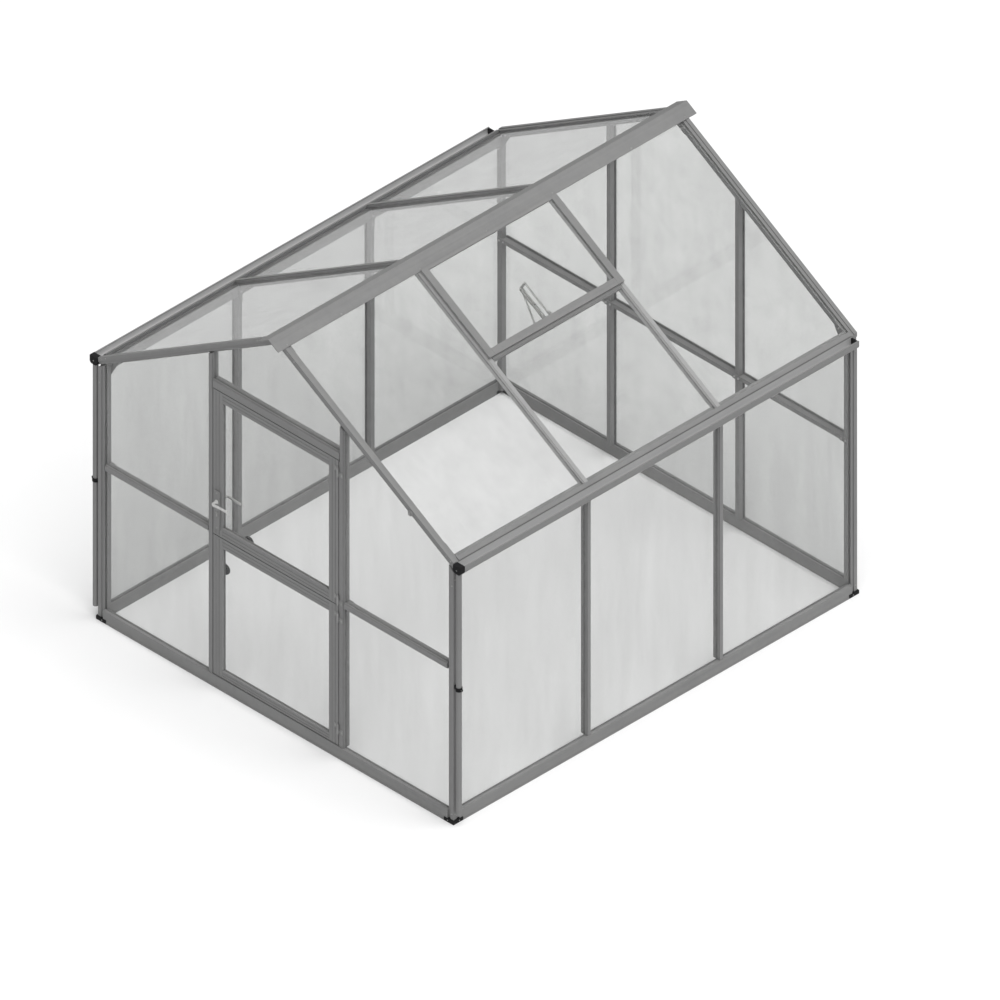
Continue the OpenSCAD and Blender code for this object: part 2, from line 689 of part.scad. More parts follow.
low_top = mid_h - bar_web / 2;
up_bottom = mid_h + bar_web / 2;
edge_x = wall_x - corner_slot;

module glass_front_panels() color(glass_grey) on_front() both_x() {
    wall_pane(-edge_x, -post_x - bar_web / 2, base_h - slot_d, low_top);
    gable_pane(-edge_x, -post_x - bar_web / 2, up_bottom);
}

module glass_front_gable() color(glass_grey) on_front()
    gable_pane(-post_x + bar_web / 2, post_x - bar_web / 2, door_h + head_h - slot_d);

module glass_rear_lower() color(glass_grey) on_rear() {
    both_x() wall_pane(-edge_x, -rear_post_x - bar_web / 2, base_h - slot_d, low_top);
    wall_pane(-rear_post_x + bar_web / 2, rear_post_x - bar_web / 2, base_h - slot_d, low_top);
}

module glass_rear_upper() color(glass_grey) on_rear() {
    both_x() gable_pane(-edge_x, -rear_post_x - bar_web / 2, up_bottom);
    gable_pane(-rear_post_x + bar_web / 2, rear_post_x - bar_web / 2, up_bottom);
}

module roof_pane(y, s0) translate([s0, y - side_pane / 2 + glass_edge, -pane_mid - glass_t])
    cube([pane_end - s0, side_pane - 2 * glass_edge, glass_t]);

module glass_roof_left() color(glass_grey) on_roof_left()
    for (y = [-1, 0, 1]) roof_pane(y * (side_pane + bar_web), pane_top);

module glass_roof_right() color(glass_grey) on_roof_right() {
    for (y = [-1, 1]) roof_pane(y * (side_pane + bar_web), pane_top);
    roof_pane(0, sill_s + bar_web / 2 + glass_edge);
}

// ---- Door ----

module leaf_stiles(z0, z1) on_front() both_x()
    translate([-leaf_half, 0, 0]) upright(z0, z1, leaf_outline(stile_w));

// Rails between the stiles: the bottom one of height low, the top one of height high
module leaf_rails(z0, z1, low, high) on_front() {
    x = leaf_half - stile_w - touch;
    rail(-x, x, z0, swapped(leaf_outline(low)));
    translate([0, 0, z1]) mirror([0, 0, 1]) rail(-x, x, 0, swapped(leaf_outline(high)));
}

module leaf_glass(z0, z1, low, high) on_front() {
    x = leaf_half - stile_w + slot_d - glass_edge;
    a = z0 + low - slot_d + glass_edge;
    translate([-x, leaf_slot + glass_fit, a])
        cube([2 * x, glass_t, z1 - high + slot_d - glass_edge - a]);
}

module upper_door_stiles() color(aluminium) leaf_stiles_bored();
module upper_door_rails() color(aluminium) leaf_rails(split_up, leaf_top, leaf_rail, leaf_rail);
module upper_door_glass() color(glass_grey) leaf_glass(split_up, leaf_top, leaf_rail, leaf_rail);
module lower_door_stiles() color(aluminium) leaf_stiles(leaf_bottom, split_low);
module lower_door_rails() color(aluminium) leaf_rails(leaf_bottom, split_low, kick_rail, leaf_rail);
module lower_door_glass() color(glass_grey) leaf_glass(leaf_bottom, split_low, kick_rail, leaf_rail);

// The left stile of the upper leaf has the hole for the lever's spindle
module leaf_stiles_bored() difference() {
    leaf_stiles(split_up, leaf_top);
    spindle_place() cylinder(r = neck_r + leaf_gap / 2, h = 2 * leaf_t, center = true);
}

// x right, z towards the outside, origin on the spindle in the door's outer face
module spindle_place() translate([lever_x, -wall_y, lever_z]) rotate([90, 0, 0]) children();

module door_handle_plates() color(steel) for (z = [touch, -leaf_t - lock_plate_t - touch])
    spindle_place() difference() {
        low = lever_z - split_up - 45;
        translate([-lock_plate_w / 2, -low, z]) cube([lock_plate_w, lock_plate_l, lock_plate_t]);
        translate([0, 0, z - 1]) cylinder(r = neck_r + pin_fit, h = lock_plate_t + 2);
    }

// Two levers on one spindle
module door_lever() color(steel) spindle_place() {
    inner = -leaf_t - lever_off;
    translate([0, 0, inner]) cylinder(r = neck_r, h = lever_off - inner);
    for (z = [inner, lever_off]) translate([0, 0, z]) {
        rotate([0, 90, 0]) cylinder(r = lever_r, h = lever_l);
        sphere(r = neck_r + 0.5);
    }
}

module turn_knob() rotate([-90, 0, 0]) {
    cylinder(r = knob_r * 0.45, h = knob_h * 0.5);
    translate([0, 0, knob_h * 0.4]) cylinder(r = knob_r, h = knob_h * 0.6);
}

module upper_door_knob() color(black_plastic) on_front()
    translate([-knob_x, leaf_t + touch, split_up + knob_r + 4]) turn_knob();

module lower_door_knob() color(black_plastic) on_front()
    translate([-leaf_half + stile_w - knob_r * 0.6, leaf_t + touch, knob_low_z]) turn_knob();

// ---- Hinges: the lower half is on the post and carries the pin ----

upper_hinges = [split_up + hinge_in, leaf_top - 2 * hinge_in];
lower_hinges = [leaf_bottom + hinge_in_low, split_low - 2 * hinge_in];

module hinge_place(z) translate([hinge_x, -wall_y - hinge_out, z]) children();

module barrel(side, z0, bore) difference() {
    union() {
        translate([0, 0, z0]) cylinder(r = hinge_r, h = knuckle - touch);
        // web back to the plate, and the plate, to the given side
        translate([side > 0 ? 0 : -hinge_r, 0, z0]) cube([hinge_r, hinge_out, knuckle - touch]);
        translate([side > 0 ? leaf_gap / 2 : -hinge_plate, hinge_out - plate_t - touch / 2, z0])
            cube([hinge_plate - leaf_gap / 2, plate_t, knuckle - touch]);
    }
    translate([-hinge_plate - 1, hinge_out - touch / 2, z0 - 1]) cube([2 * hinge_plate + 2, hinge_out, hinge_h]);
    if (bore) translate([0, 0, z0 - 1]) cylinder(r = pin_r + pin_fit, h = hinge_h);
}

module door_hinge_pins() color(steel) for (z = concat(upper_hinges, lower_hinges))
    hinge_place(z) {
        barrel(1, -knuckle, false);
        translate([0, 0, -touch - slack]) cylinder(r = pin_r, h = knuckle + 4);
    }

module upper_door_hinges() color(steel) for (z = upper_hinges) hinge_place(z) barrel(-1, 0, true);
module lower_door_hinges() color(steel) for (z = lower_hinges) hinge_place(z) barrel(-1, 0, true);

base_rail_front();
base_rail_rear();
base_rail_left();
base_rail_right();
base_corner_feet();
corner_posts_front();
corner_posts_rear();
side_bars_left();
side_bars_right();
door_post_left();
door_post_right();
door_head_rail();
rear_posts();
front_mid_rails();
rear_mid_rails();
eaves_beam_left();
eaves_beam_right();
gutter_left();
gutter_right();
gutter_end_caps();
downpipe_left();
downpipe_right();
downpipe_clips();
rafters_front();
rafters_rear();
roof_bars_left();
roof_bars_right();
ridge_beam();
vent_sill();
vent_side_rails();
vent_cross_rails();
vent_glass();
vent_opener();
gusset_plates();
eaves_brackets();
mid_rail_cleats();
door_holder();
door_hinge_pins();
glass_left_wall();
glass_right_wall();
glass_front_panels();
glass_front_gable();
glass_rear_lower();
glass_rear_upper();
glass_roof_left();
glass_roof_right();
upper_door_stiles();
upper_door_rails();
upper_door_glass();
upper_door_hinges();
door_handle_plates();
upper_door_knob();
door_lever();
lower_door_stiles();
lower_door_rails();
lower_door_glass();
lower_door_hinges();
lower_door_knob();
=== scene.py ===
# Glass greenhouse: finishes, glazing seals, fittings, floor, lights and camera.
# Metres. X runs across the gables, Y along the ridge, Z is up, and the door faces -Y.
import json
import math
import bmesh
import bpy
import numpy as np
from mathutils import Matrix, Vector


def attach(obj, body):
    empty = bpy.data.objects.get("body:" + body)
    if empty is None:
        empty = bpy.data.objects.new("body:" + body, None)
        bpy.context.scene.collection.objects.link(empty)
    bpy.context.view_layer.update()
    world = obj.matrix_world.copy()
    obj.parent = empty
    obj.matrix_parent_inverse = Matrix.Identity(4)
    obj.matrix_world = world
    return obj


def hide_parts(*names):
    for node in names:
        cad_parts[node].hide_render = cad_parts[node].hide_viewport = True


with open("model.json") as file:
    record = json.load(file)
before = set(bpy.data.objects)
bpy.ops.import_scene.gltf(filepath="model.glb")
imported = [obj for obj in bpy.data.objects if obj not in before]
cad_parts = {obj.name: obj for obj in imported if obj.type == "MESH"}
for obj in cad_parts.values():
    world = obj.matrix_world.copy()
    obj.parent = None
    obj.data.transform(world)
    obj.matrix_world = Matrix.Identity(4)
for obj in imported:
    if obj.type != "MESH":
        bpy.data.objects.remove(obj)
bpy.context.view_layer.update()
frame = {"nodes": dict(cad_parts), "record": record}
scene = bpy.context.scene
bodies = frame["record"]["behaviour"]["bodies"]
bodyOfNode = {node: body for body, nodes in bodies.items() for node in nodes}


def report(stage):
    print("stage:", stage)


camera = {
    "azimuth": 45.16,     # degrees round from the front
    "height": 35.12,      # degrees above the horizon
    "width": 5.382,       # metres seen across
    "right": 0.1207,      # the aim, beside and above the middle of the base
    "up": 0.5702,
    "distance": 14.0,
    "far": 100,
}


def placeCamera(c):
    a, e = math.radians(c["azimuth"]), math.radians(c["height"])
    back = Vector((math.sin(a) * math.cos(e), -math.cos(a) * math.cos(e), math.sin(e)))
    right = Vector((math.cos(a), math.sin(a), 0))
    up = back.cross(right)
    data = bpy.data.cameras.new("camera")
    data.type = "ORTHO"
    data.ortho_scale = c["width"]
    data.clip_end = c["far"]
    cam = bpy.data.objects.new("camera", data)
    scene.collection.objects.link(cam)
    cam.location = right * c["right"] + up * c["up"] + back * c["distance"]
    cam.rotation_mode = "QUATERNION"
    cam.rotation_quaternion = (-back).to_track_quat("-Z", "Y")
    scene.camera = cam


light = {
    "sky": 0.36,          # even light from all round
    "sun": 2.8,           # soft light from above and from the right
    "sunAngle": 55.0,     # degrees across, which keeps the shadows soft
    "sunFrom": (0.42, -0.06, 1.0),
}


def placeLight(c):
    world = bpy.data.worlds.new("sky")
    scene.world = world
    world.use_nodes = True
    sky = world.node_tree.nodes["Background"]
    sky.inputs["Color"].default_value = (1, 1, 1, 1)
    sky.inputs["Strength"].default_value = c["sky"]
    sun = bpy.data.lights.new("sun", "SUN")
    sun.energy = c["sun"]
    sun.angle = math.radians(c["sunAngle"])
    lamp = bpy.data.objects.new("sun", sun)
    scene.collection.objects.link(lamp)
    lamp.visible_glossy = False
    lamp.rotation_mode = "QUATERNION"
    lamp.rotation_quaternion = Vector(c["sunFrom"]).to_track_quat("Z", "Y")
    scene.view_settings.view_transform = "Standard"


placeCamera(camera)
placeLight(light)
report("camera and light")


def newGroup(name, inputs, outputs):
    tree = bpy.data.node_groups.new(name, "ShaderNodeTree")
    for label, kind, value in inputs:
        made = tree.interface.new_socket(label, in_out="INPUT", socket_type=kind)
        if value is not None:
            made.default_value = value
    for label, kind in outputs:
        tree.interface.new_socket(label, in_out="OUTPUT", socket_type=kind)
    return tree, tree.nodes.new("NodeGroupInput"), tree.nodes.new("NodeGroupOutput")


# Settings go to the node or to its sockets, and a socket that a link feeds is given by name
def addNode(tree, kind, settings=None, **links):
    node = tree.nodes.new(kind)
    for key, value in (settings or {}).items():
        if hasattr(node, key):
            setattr(node, key, value)
        else:
            node.inputs[key].default_value = value
    for key, source in links.items():
        tree.links.new(source, node.inputs[key.replace("_", " ")])
    return node


def noiseNode(tree, vector, scale, detail, roughness=0.5):
    settings = {"Scale": scale, "Detail": detail, "Roughness": roughness}
    return addNode(tree, "ShaderNodeTexNoise", settings, Vector=vector).outputs["Fac"]


def mathNode(tree, operation, a, b, clamp=False):
    node = tree.nodes.new("ShaderNodeMath")
    node.operation = operation
    node.use_clamp = clamp
    for socket, value in zip(node.inputs, (a, b)):
        if isinstance(value, (int, float)):
            socket.default_value = value
        else:
            tree.links.new(value, socket)
    return node.outputs[0]


def rampNode(tree, value, low, high, lowOut=0.0, highOut=1.0):
    node = tree.nodes.new("ShaderNodeMapRange")
    node.clamp = True
    tree.links.new(value, node.inputs["Value"])
    for label, number in zip(("From Min", "From Max", "To Min", "To Max"), (low, high, lowOut, highOut)):
        node.inputs[label].default_value = number
    return node.outputs["Result"]


def stretched(tree, vector, factors):
    node = addNode(tree, "ShaderNodeVectorMath", {"operation": "MULTIPLY"})
    tree.links.new(vector, node.inputs[0])
    node.inputs[1].default_value = factors
    return node.outputs[0]


# Draw lines of an extrusion: noise stretched along local X, with broad cloudy tone beside it
def buildDrawLines():
    tree, gin, gout = newGroup(
        "draw lines",
        [("Vector", "NodeSocketVector", None), ("Line Scale", "NodeSocketFloat", 260.0),
         ("Depth", "NodeSocketFloat", 1.0), ("Cloud", "NodeSocketFloat", 1.0)],
        [("Tone", "NodeSocketFloat"), ("Height", "NodeSocketFloat"), ("Matt", "NodeSocketFloat")])
    along = stretched(tree, gin.outputs["Vector"], (0.012, 1.0, 1.0))
    lines = addNode(tree, "ShaderNodeTexNoise", {"Detail": 3.0, "Roughness": 0.7},
                    Vector=along, Scale=gin.outputs["Line Scale"])
    bands = noiseNode(tree, along, 60.0, 1.0)
    cloud = noiseNode(tree, gin.outputs["Vector"], 2.3, 4.0, 0.6)
    centred = mathNode(tree, "SUBTRACT", lines.outputs["Fac"], 0.5)
    fine = mathNode(tree, "MULTIPLY", centred, gin.outputs["Depth"])
    wide = mathNode(tree, "MULTIPLY", mathNode(tree, "SUBTRACT", bands, 0.5), 0.5)
    soft = mathNode(tree, "MULTIPLY", mathNode(tree, "SUBTRACT", cloud, 0.5), gin.outputs["Cloud"])
    both = mathNode(tree, "ADD", fine, wide)
    matt = mathNode(tree, "ADD", mathNode(tree, "MULTIPLY", soft, 0.6), mathNode(tree, "MULTIPLY", fine, 0.5))
    tree.links.new(mathNode(tree, "ADD", both, soft), gout.inputs["Tone"])
    tree.links.new(both, gout.inputs["Height"])
    tree.links.new(matt, gout.inputs["Matt"])
    return tree


def newMask(name, amount):
    return newGroup(name, [("Vector", "NodeSocketVector", None), ("Amount", "NodeSocketFloat", amount)],
                    [("Mask", "NodeSocketFloat")])


def endMask(tree, gin, gout, where, broken):
    patches = mathNode(tree, "MULTIPLY", where, broken)
    mask = mathNode(tree, "MULTIPLY", patches, gin.outputs["Amount"], clamp=True)
    tree.links.new(mask, gout.inputs["Mask"])
    return tree


# Dust: settles on faces that look up and near the ground, broken up by noise
def buildDust():
    tree, gin, gout = newMask("dust", 0.2)
    geometry = tree.nodes.new("ShaderNodeNewGeometry")
    normal = addNode(tree, "ShaderNodeSeparateXYZ", None, Vector=geometry.outputs["Normal"])
    place = addNode(tree, "ShaderNodeSeparateXYZ", None, Vector=gin.outputs["Vector"])
    up = rampNode(tree, normal.outputs["Z"], 0.1, 1.0)
    low = rampNode(tree, place.outputs["Z"], 0.22, 0.0, 0.0, 0.8)
    broken = rampNode(tree, noiseNode(tree, gin.outputs["Vector"], 9.0, 5.0, 0.65), 0.32, 0.72)
    return endMask(tree, gin, gout, mathNode(tree, "MAXIMUM", up, low), broken)


# Edge wear: where the surface turns sharply outwards, broken up by noise
def buildEdgeWear():
    tree, gin, gout = newMask("edge wear", 0.5)
    geometry = tree.nodes.new("ShaderNodeNewGeometry")
    edge = rampNode(tree, geometry.outputs["Pointiness"], 0.52, 0.6)
    broken = rampNode(tree, noiseNode(tree, gin.outputs["Vector"], 34.0, 3.0), 0.35, 0.65, 0.35, 1.0)
    return endMask(tree, gin, gout, edge, broken)


drawLines, dustGroup, edgeWear = buildDrawLines(), buildDust(), buildEdgeWear()


def placeGroup(tree, group, vector, **settings):
    node = tree.nodes.new("ShaderNodeGroup")
    node.node_tree = group
    for key, value in settings.items():
        node.inputs[key].default_value = value
    tree.links.new(vector, node.inputs["Vector"])
    return node.outputs


def mixColor(tree, mask, a, b):
    node = tree.nodes.new("ShaderNodeMix")
    node.data_type = "RGBA"
    tree.links.new(mask, node.inputs[0])
    for i, value in ((6, a), (7, b)):
        if isinstance(value, tuple):
            node.inputs[i].default_value = (*value, 1)
        else:
            tree.links.new(value, node.inputs[i])
    return node.outputs[2]


def times(factor, color):
    return tuple(factor * v for v in color)


# The vectors are object coordinates, first turned by the rotation and then as they are
def newMaterial(name, rotation=(0, 0, 0)):
    mat = bpy.data.materials.new(name)
    mat.use_nodes = True
    tree = mat.node_tree
    place = tree.nodes.new("ShaderNodeTexCoord")
    turn = tree.nodes.new("ShaderNodeMapping")
    turn.vector_type = "TEXTURE"
    turn.inputs["Rotation"].default_value = rotation
    tree.links.new(place.outputs["Object"], turn.inputs["Vector"])
    return mat, tree, tree.nodes["Principled BSDF"], turn.outputs[0], place.outputs["Object"]


def bump(tree, shader, height, strength, distance):
    node = tree.nodes.new("ShaderNodeBump")
    node.inputs["Strength"].default_value = strength
    node.inputs["Distance"].default_value = distance
    tree.links.new(height, node.inputs["Height"])
    tree.links.new(node.outputs["Normal"], shader.inputs["Normal"])


size = {                  # of the frame: faces, heights and distances from the middle
    "baseX": 1.365, "baseY": 1.54, "baseTop": 0.076, "wallX": 1.357, "wallY": 1.532, "ledge": 0.008,
    "ridgeZ": 2.54, "eavesZ": 1.72, "capThick": 0.006, "barDepth": 0.052, "paneOuter": 0.0163,
    "paneInner": 0.0203, "beamZ": 1.64, "sideBar": 0.502, "postX": 0.5, "rearPostX": 0.49, "midZ": 1.015,
    "barFace": 0.017, "barInner": 0.014, "midFace": 0.02,
}
slopeAngle = math.atan2(size["ridgeZ"] - size["eavesZ"], size["baseX"])      # of the roof
directions = {            # rotations that bring local X along the bar
    "across": (0, 0, 0),
    "along": (0, 0, math.pi / 2),
    "upright": (0, math.pi / 2, 0),
    "rightSlope": (0, slopeAngle, 0),
    "leftSlope": (0, -slopeAngle, 0),
}
aluminiumLook = {
    "color": (0.25, 0.25, 0.25),
    "dust": (0.36, 0.355, 0.34),
    "dustAmount": 0.3,
    "wearAmount": 0.15,
    "metallic": 0.25,
    "roughness": 0.42,
    "matt": 0.09,         # how far the roughness goes up and down
    "dustMatt": 0.4,
    "lines": 0.5,
    "cloud": 0.5,
    "shade": (0.86, 1.16, 1.7),      # darkest, palest and worn, as shares of the color
    "relief": (0.25, 0.0004),        # strength and depth
}


def makeAluminium(name, direction, tone=1.0):
    c = aluminiumLook
    mat, tree, shader, vector, plain = newMaterial(name, directions[direction])
    lines = placeGroup(tree, drawLines, vector, Depth=c["lines"], Cloud=c["cloud"])
    dust = placeGroup(tree, dustGroup, plain, Amount=c["dustAmount"])["Mask"]
    wear = placeGroup(tree, edgeWear, plain, Amount=c["wearAmount"])["Mask"]
    base = times(tone, c["color"])
    dark, pale, worn = (times(share, base) for share in c["shade"])
    color = mixColor(tree, rampNode(tree, lines["Tone"], -0.45, 0.45), dark, pale)
    color = mixColor(tree, dust, color, c["dust"])
    color = mixColor(tree, wear, color, worn)
    tree.links.new(color, shader.inputs["Base Color"])
    rough = rampNode(tree, lines["Matt"], -0.4, 0.4, c["roughness"] - c["matt"], c["roughness"] + c["matt"])
    rough = mathNode(tree, "ADD", rough, mathNode(tree, "MULTIPLY", dust, c["dustMatt"]), clamp=True)
    tree.links.new(rough, shader.inputs["Roughness"])
    shader.inputs["Metallic"].default_value = c["metallic"]
    bump(tree, shader, lines["Height"], *c["relief"])
    return mat


aluminium = {d: makeAluminium("aluminium " + d, d) for d in directions}
# Aluminium at 2.3 times the tone: painted light that lifts the shade inside the gutter channels
gutterPaintedLight = makeAluminium("aluminium painted light in the gutter", "along", 2.3)
# Aluminium at 1.5 times the tone for the right roof bars: painted light, paler than the same bars on the left
roofBarPaintedLight = makeAluminium("aluminium painted light on right roof bars", "rightSlope", 1.5)
# Aluminium at 2.2 times the tone for the flanks of those bars: painted light against the shade on their sides
barFlankPaintedLight = makeAluminium("aluminium painted light on roof bar flanks", "rightSlope", 2.2)

plasticLook = {"color": (0.008, 0.008, 0.009), "roughness": 0.45, "specular": 0.25}
sealLook = {"color": (0.14, 0.14, 0.14), "roughness": 0.6, "specular": 0.3}
plasticSurface = {
    "grain": (1400.0, 2.0),          # scale and detail
    "cloud": (30.0, 3.0),
    "wearAmount": 0.06,
    "dustAmount": 0.03,
    "dust": (0.2, 0.19, 0.18),
    "shade": (0.8, 1.5, 4),          # darkest, palest and worn, as shares of the color
    "matt": (-0.08, 0.1),            # least and most, added to the roughness
    "relief": (0.2, 0.0003),
}


def makePlastic(name, c, s=plasticSurface):
    mat, tree, shader, _, plain = newMaterial(name)
    grain = noiseNode(tree, plain, *s["grain"])
    cloud = noiseNode(tree, plain, *s["cloud"])
    wear = placeGroup(tree, edgeWear, plain, Amount=s["wearAmount"])["Mask"]
    dust = placeGroup(tree, dustGroup, plain, Amount=s["dustAmount"])["Mask"]
    dark, pale, worn = (times(share, c["color"]) for share in s["shade"])
    color = mixColor(tree, rampNode(tree, cloud, 0.3, 0.7), dark, pale)
    color = mixColor(tree, dust, color, s["dust"])
    color = mixColor(tree, wear, color, worn)
    tree.links.new(color, shader.inputs["Base Color"])
    rough = rampNode(tree, cloud, 0.2, 0.8, *(c["roughness"] + more for more in s["matt"]))
    tree.links.new(rough, shader.inputs["Roughness"])
    shader.inputs["Specular IOR Level"].default_value = c["specular"]
    bump(tree, shader, grain, *s["relief"])
    return mat


blackPlastic = makePlastic("black plastic", plasticLook)
sealRubber = makePlastic("seal rubber", sealLook)

steelLook = {"color": (0.52, 0.52, 0.51), "metallic": 0.75, "roughness": 0.3}
hingeLook = {"color": (0.33, 0.33, 0.33), "metallic": 0.45, "roughness": 0.38}
leverLook = {"color": (0.72, 0.72, 0.71), "metallic": 0.25, "roughness": 0.28}
steelSurface = {
    "grain": (700.0, 3.0),
    "cloud": (22.0, 4.0),
    "wearAmount": 0.5,
    "dustAmount": 0.2,
    "worn": (0.75, 0.75, 0.74),
    "dust": (0.36, 0.35, 0.33),
    "shade": (0.86, 1.1),
    "matt": (-0.08, 0.12),
    "relief": (0.12, 0.0002),
}


def makeSteel(name, c, s=steelSurface):
    mat, tree, shader, _, plain = newMaterial(name)
    grain = noiseNode(tree, plain, *s["grain"])
    cloud = noiseNode(tree, plain, *s["cloud"])
    wear = placeGroup(tree, edgeWear, plain, Amount=s["wearAmount"])["Mask"]
    dust = placeGroup(tree, dustGroup, plain, Amount=s["dustAmount"])["Mask"]
    dark, pale = (times(share, c["color"]) for share in s["shade"])
    color = mixColor(tree, rampNode(tree, cloud, 0.3, 0.7), dark, pale)
    color = mixColor(tree, dust, color, s["dust"])
    color = mixColor(tree, wear, color, s["worn"])
    tree.links.new(color, shader.inputs["Base Color"])
    rough = rampNode(tree, cloud, 0.25, 0.75, *(c["roughness"] + more for more in s["matt"]))
    tree.links.new(rough, shader.inputs["Roughness"])
    shader.inputs["Metallic"].default_value = c["metallic"]
    bump(tree, shader, grain, *s["relief"])
    return mat


satinSteel = makeSteel("satin steel", steelLook)
hingeSteel = makeSteel("hinge steel", hingeLook)
leverSteel = makeSteel("lever steel", leverLook)

glassLook = {
    "wall": (0.765, 0.77, 0.765),     # what a pane lets through
    "roof": (0.87, 0.875, 0.87),
    "lamps": 0.97,                    # light that reaches the inside
    "bending": 1.5,
    "streak": 0.16,                   # how far the film is drawn out downwards
    "film": 0.93,                     # what the film leaves of the tint
    "filmMatt": 0.02,                 # roughness under the film and under the spots
    "spotMatt": 0.03,
}


# Clear pane: bends and mirrors what the eye sees, and lets lamps and bounced light straight through
def makeGlass(name, tint, c):
    mat, tree, shader, _, plain = newMaterial(name)
    streaks = stretched(tree, plain, (1.0, 1.0, c["streak"]))
    film = noiseNode(tree, streaks, 7.0, 6.0, 0.62)
    spots = noiseNode(tree, streaks, 90.0, 2.0)
    color = mixColor(tree, rampNode(tree, film, 0.35, 0.7), tint, times(c["film"], tint))
    tree.links.new(color, shader.inputs["Base Color"])
    dull = rampNode(tree, film, 0.4, 0.75, 0.0, c["filmMatt"])
    spotted = rampNode(tree, spots, 0.6, 0.75, 0.0, c["spotMatt"])
    rough = mathNode(tree, "ADD", dull, spotted)
    tree.links.new(rough, shader.inputs["Roughness"])
    shader.inputs["IOR"].default_value = c["bending"]
    shader.inputs["Transmission Weight"].default_value = 1.0
    path = tree.nodes.new("ShaderNodeLightPath")
    clear = tree.nodes.new("ShaderNodeBsdfTransparent")
    clear.inputs["Color"].default_value = (c["lamps"], c["lamps"], c["lamps"], 1)
    mix = tree.nodes.new("ShaderNodeMixShader")
    either = mathNode(tree, "MAXIMUM", path.outputs["Is Shadow Ray"], path.outputs["Is Diffuse Ray"])
    tree.links.new(either, mix.inputs["Fac"])
    tree.links.new(shader.outputs["BSDF"], mix.inputs[1])
    tree.links.new(clear.outputs["BSDF"], mix.inputs[2])
    tree.links.new(mix.outputs["Shader"], tree.nodes["Material Output"].inputs["Surface"])
    return mat


wallGlass = makeGlass("wall glass", glassLook["wall"], glassLook)
roofGlass = makeGlass("roof glass", glassLook["roof"], glassLook)
report("finishes")

edges = {
    "metal": 0.0008,      # widths of the soft edges
    "plastic": 0.0012,
    "glass": 0.0005,
    "steps": 2,
    "limit": 32.0,        # degrees: sharper edges are rounded, and flatter ones than "flat" are joined
    "flat": 0.4,
    "merge": 2e-6,
}


# A merged copy of a CAD node with its flat faces joined and its edges rounded
def softCopy(node, name, material, width, slotName):
    clear = slotName == "clear_glass"
    mesh = frame["nodes"][node].data.copy()
    mesh.name = name
    work = bmesh.new()
    work.from_mesh(mesh)
    bmesh.ops.remove_doubles(work, verts=work.verts, dist=edges["merge"])
    flat = math.radians(edges["flat"])
    bmesh.ops.dissolve_limit(work, angle_limit=flat, verts=work.verts, edges=work.edges)
    work.to_mesh(mesh)
    work.free()
    mesh.materials.clear()
    mesh.materials.append(material)
    if "custom_normal" in mesh.attributes:
        mesh.attributes.remove(mesh.attributes["custom_normal"])
    mesh.polygons.foreach_set("use_smooth", np.full(len(mesh.polygons), not clear))
    mesh.polygons.foreach_set("material_index", np.zeros(len(mesh.polygons), np.int32))
    mesh.set_sharp_from_angle(angle=math.radians(edges["limit"]))
    piece = bpy.data.objects.new(name, mesh)
    scene.collection.objects.link(piece)
    soft = piece.modifiers.new("soft edges", "BEVEL")
    soft.width = width
    soft.segments = edges["steps"]
    soft.limit_method = "ANGLE"
    soft.angle_limit = math.radians(edges["limit"])
    soft.harden_normals = not clear
    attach(piece, bodyOfNode[node])
    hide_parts(node)
    return piece


# Gives a second material to the faces that the test picks by their centres and normals
def secondMaterial(name, material, test):
    mesh = bpy.data.objects[name].data
    mesh.materials.append(material)
    middle, normal = np.empty(3 * len(mesh.polygons)), np.empty(3 * len(mesh.polygons))
    mesh.polygons.foreach_get("center", middle)
    mesh.polygons.foreach_get("normal", normal)
    picked = test(middle.reshape(-1, 3).T, normal.reshape(-1, 3).T)
    mesh.polygons.foreach_set("material_index", picked.astype(np.int32))


# corner_posts_front becomes cornerPostsFront
def pieceName(node):
    first, *rest = node.split("_")
    return first + "".join(word.capitalize() for word in rest)


metalNodes = {
    "base_rail_front": "across", "base_rail_rear": "across",
    "base_rail_left": "along", "base_rail_right": "along",
    "corner_posts_front": "upright", "corner_posts_rear": "upright",
    "side_bars_left": "upright", "side_bars_right": "upright",
    "door_post_left": "upright", "door_post_right": "upright", "door_head_rail": "across",
    "rear_posts": "upright", "front_mid_rails": "across", "rear_mid_rails": "across",
    "eaves_beam_left": "along", "eaves_beam_right": "along", "gutter_left": "along", "gutter_right": "along",
    "downpipe_left": "upright", "downpipe_right": "upright",
    "rafters_front": "rightSlope", "rafters_rear": "rightSlope",
    "roof_bars_left": "leftSlope", "roof_bars_right": "rightSlope",
    "ridge_beam": "along", "vent_sill": "along", "vent_side_rails": "rightSlope", "vent_cross_rails": "along",
    "gusset_plates": "across", "eaves_brackets": "upright", "mid_rail_cleats": "across",
    "upper_door_stiles": "upright", "upper_door_rails": "across",
    "lower_door_stiles": "upright", "lower_door_rails": "across",
}
wallPanes = ["glass_left_wall", "glass_right_wall", "glass_front_panels", "glass_front_gable",
             "glass_rear_lower", "glass_rear_upper", "upper_door_glass", "lower_door_glass"]
roofPanes = ["glass_roof_left", "glass_roof_right", "vent_glass"]
plasticNodes = ["base_corner_feet", "gutter_end_caps", "downpipe_clips"]
steelNodes = {
    "vent_opener": satinSteel, "door_holder": hingeSteel, "door_hinge_pins": hingeSteel,
    "upper_door_hinges": hingeSteel, "lower_door_hinges": hingeSteel,
    "door_handle_plates": aluminium["upright"],
}
for node, direction in metalNodes.items():
    # The right roof bars get painted light, a paler copy of the aluminium
    finish = roofBarPaintedLight if node == "roof_bars_right" else aluminium[direction]
    softCopy(node, pieceName(node), finish, edges["metal"], "mill_aluminium")


def leftOfRidge(middle, normal):
    return middle[0] < 0


def sideFaces(middle, normal):
    return np.abs(normal[1]) > 0.5


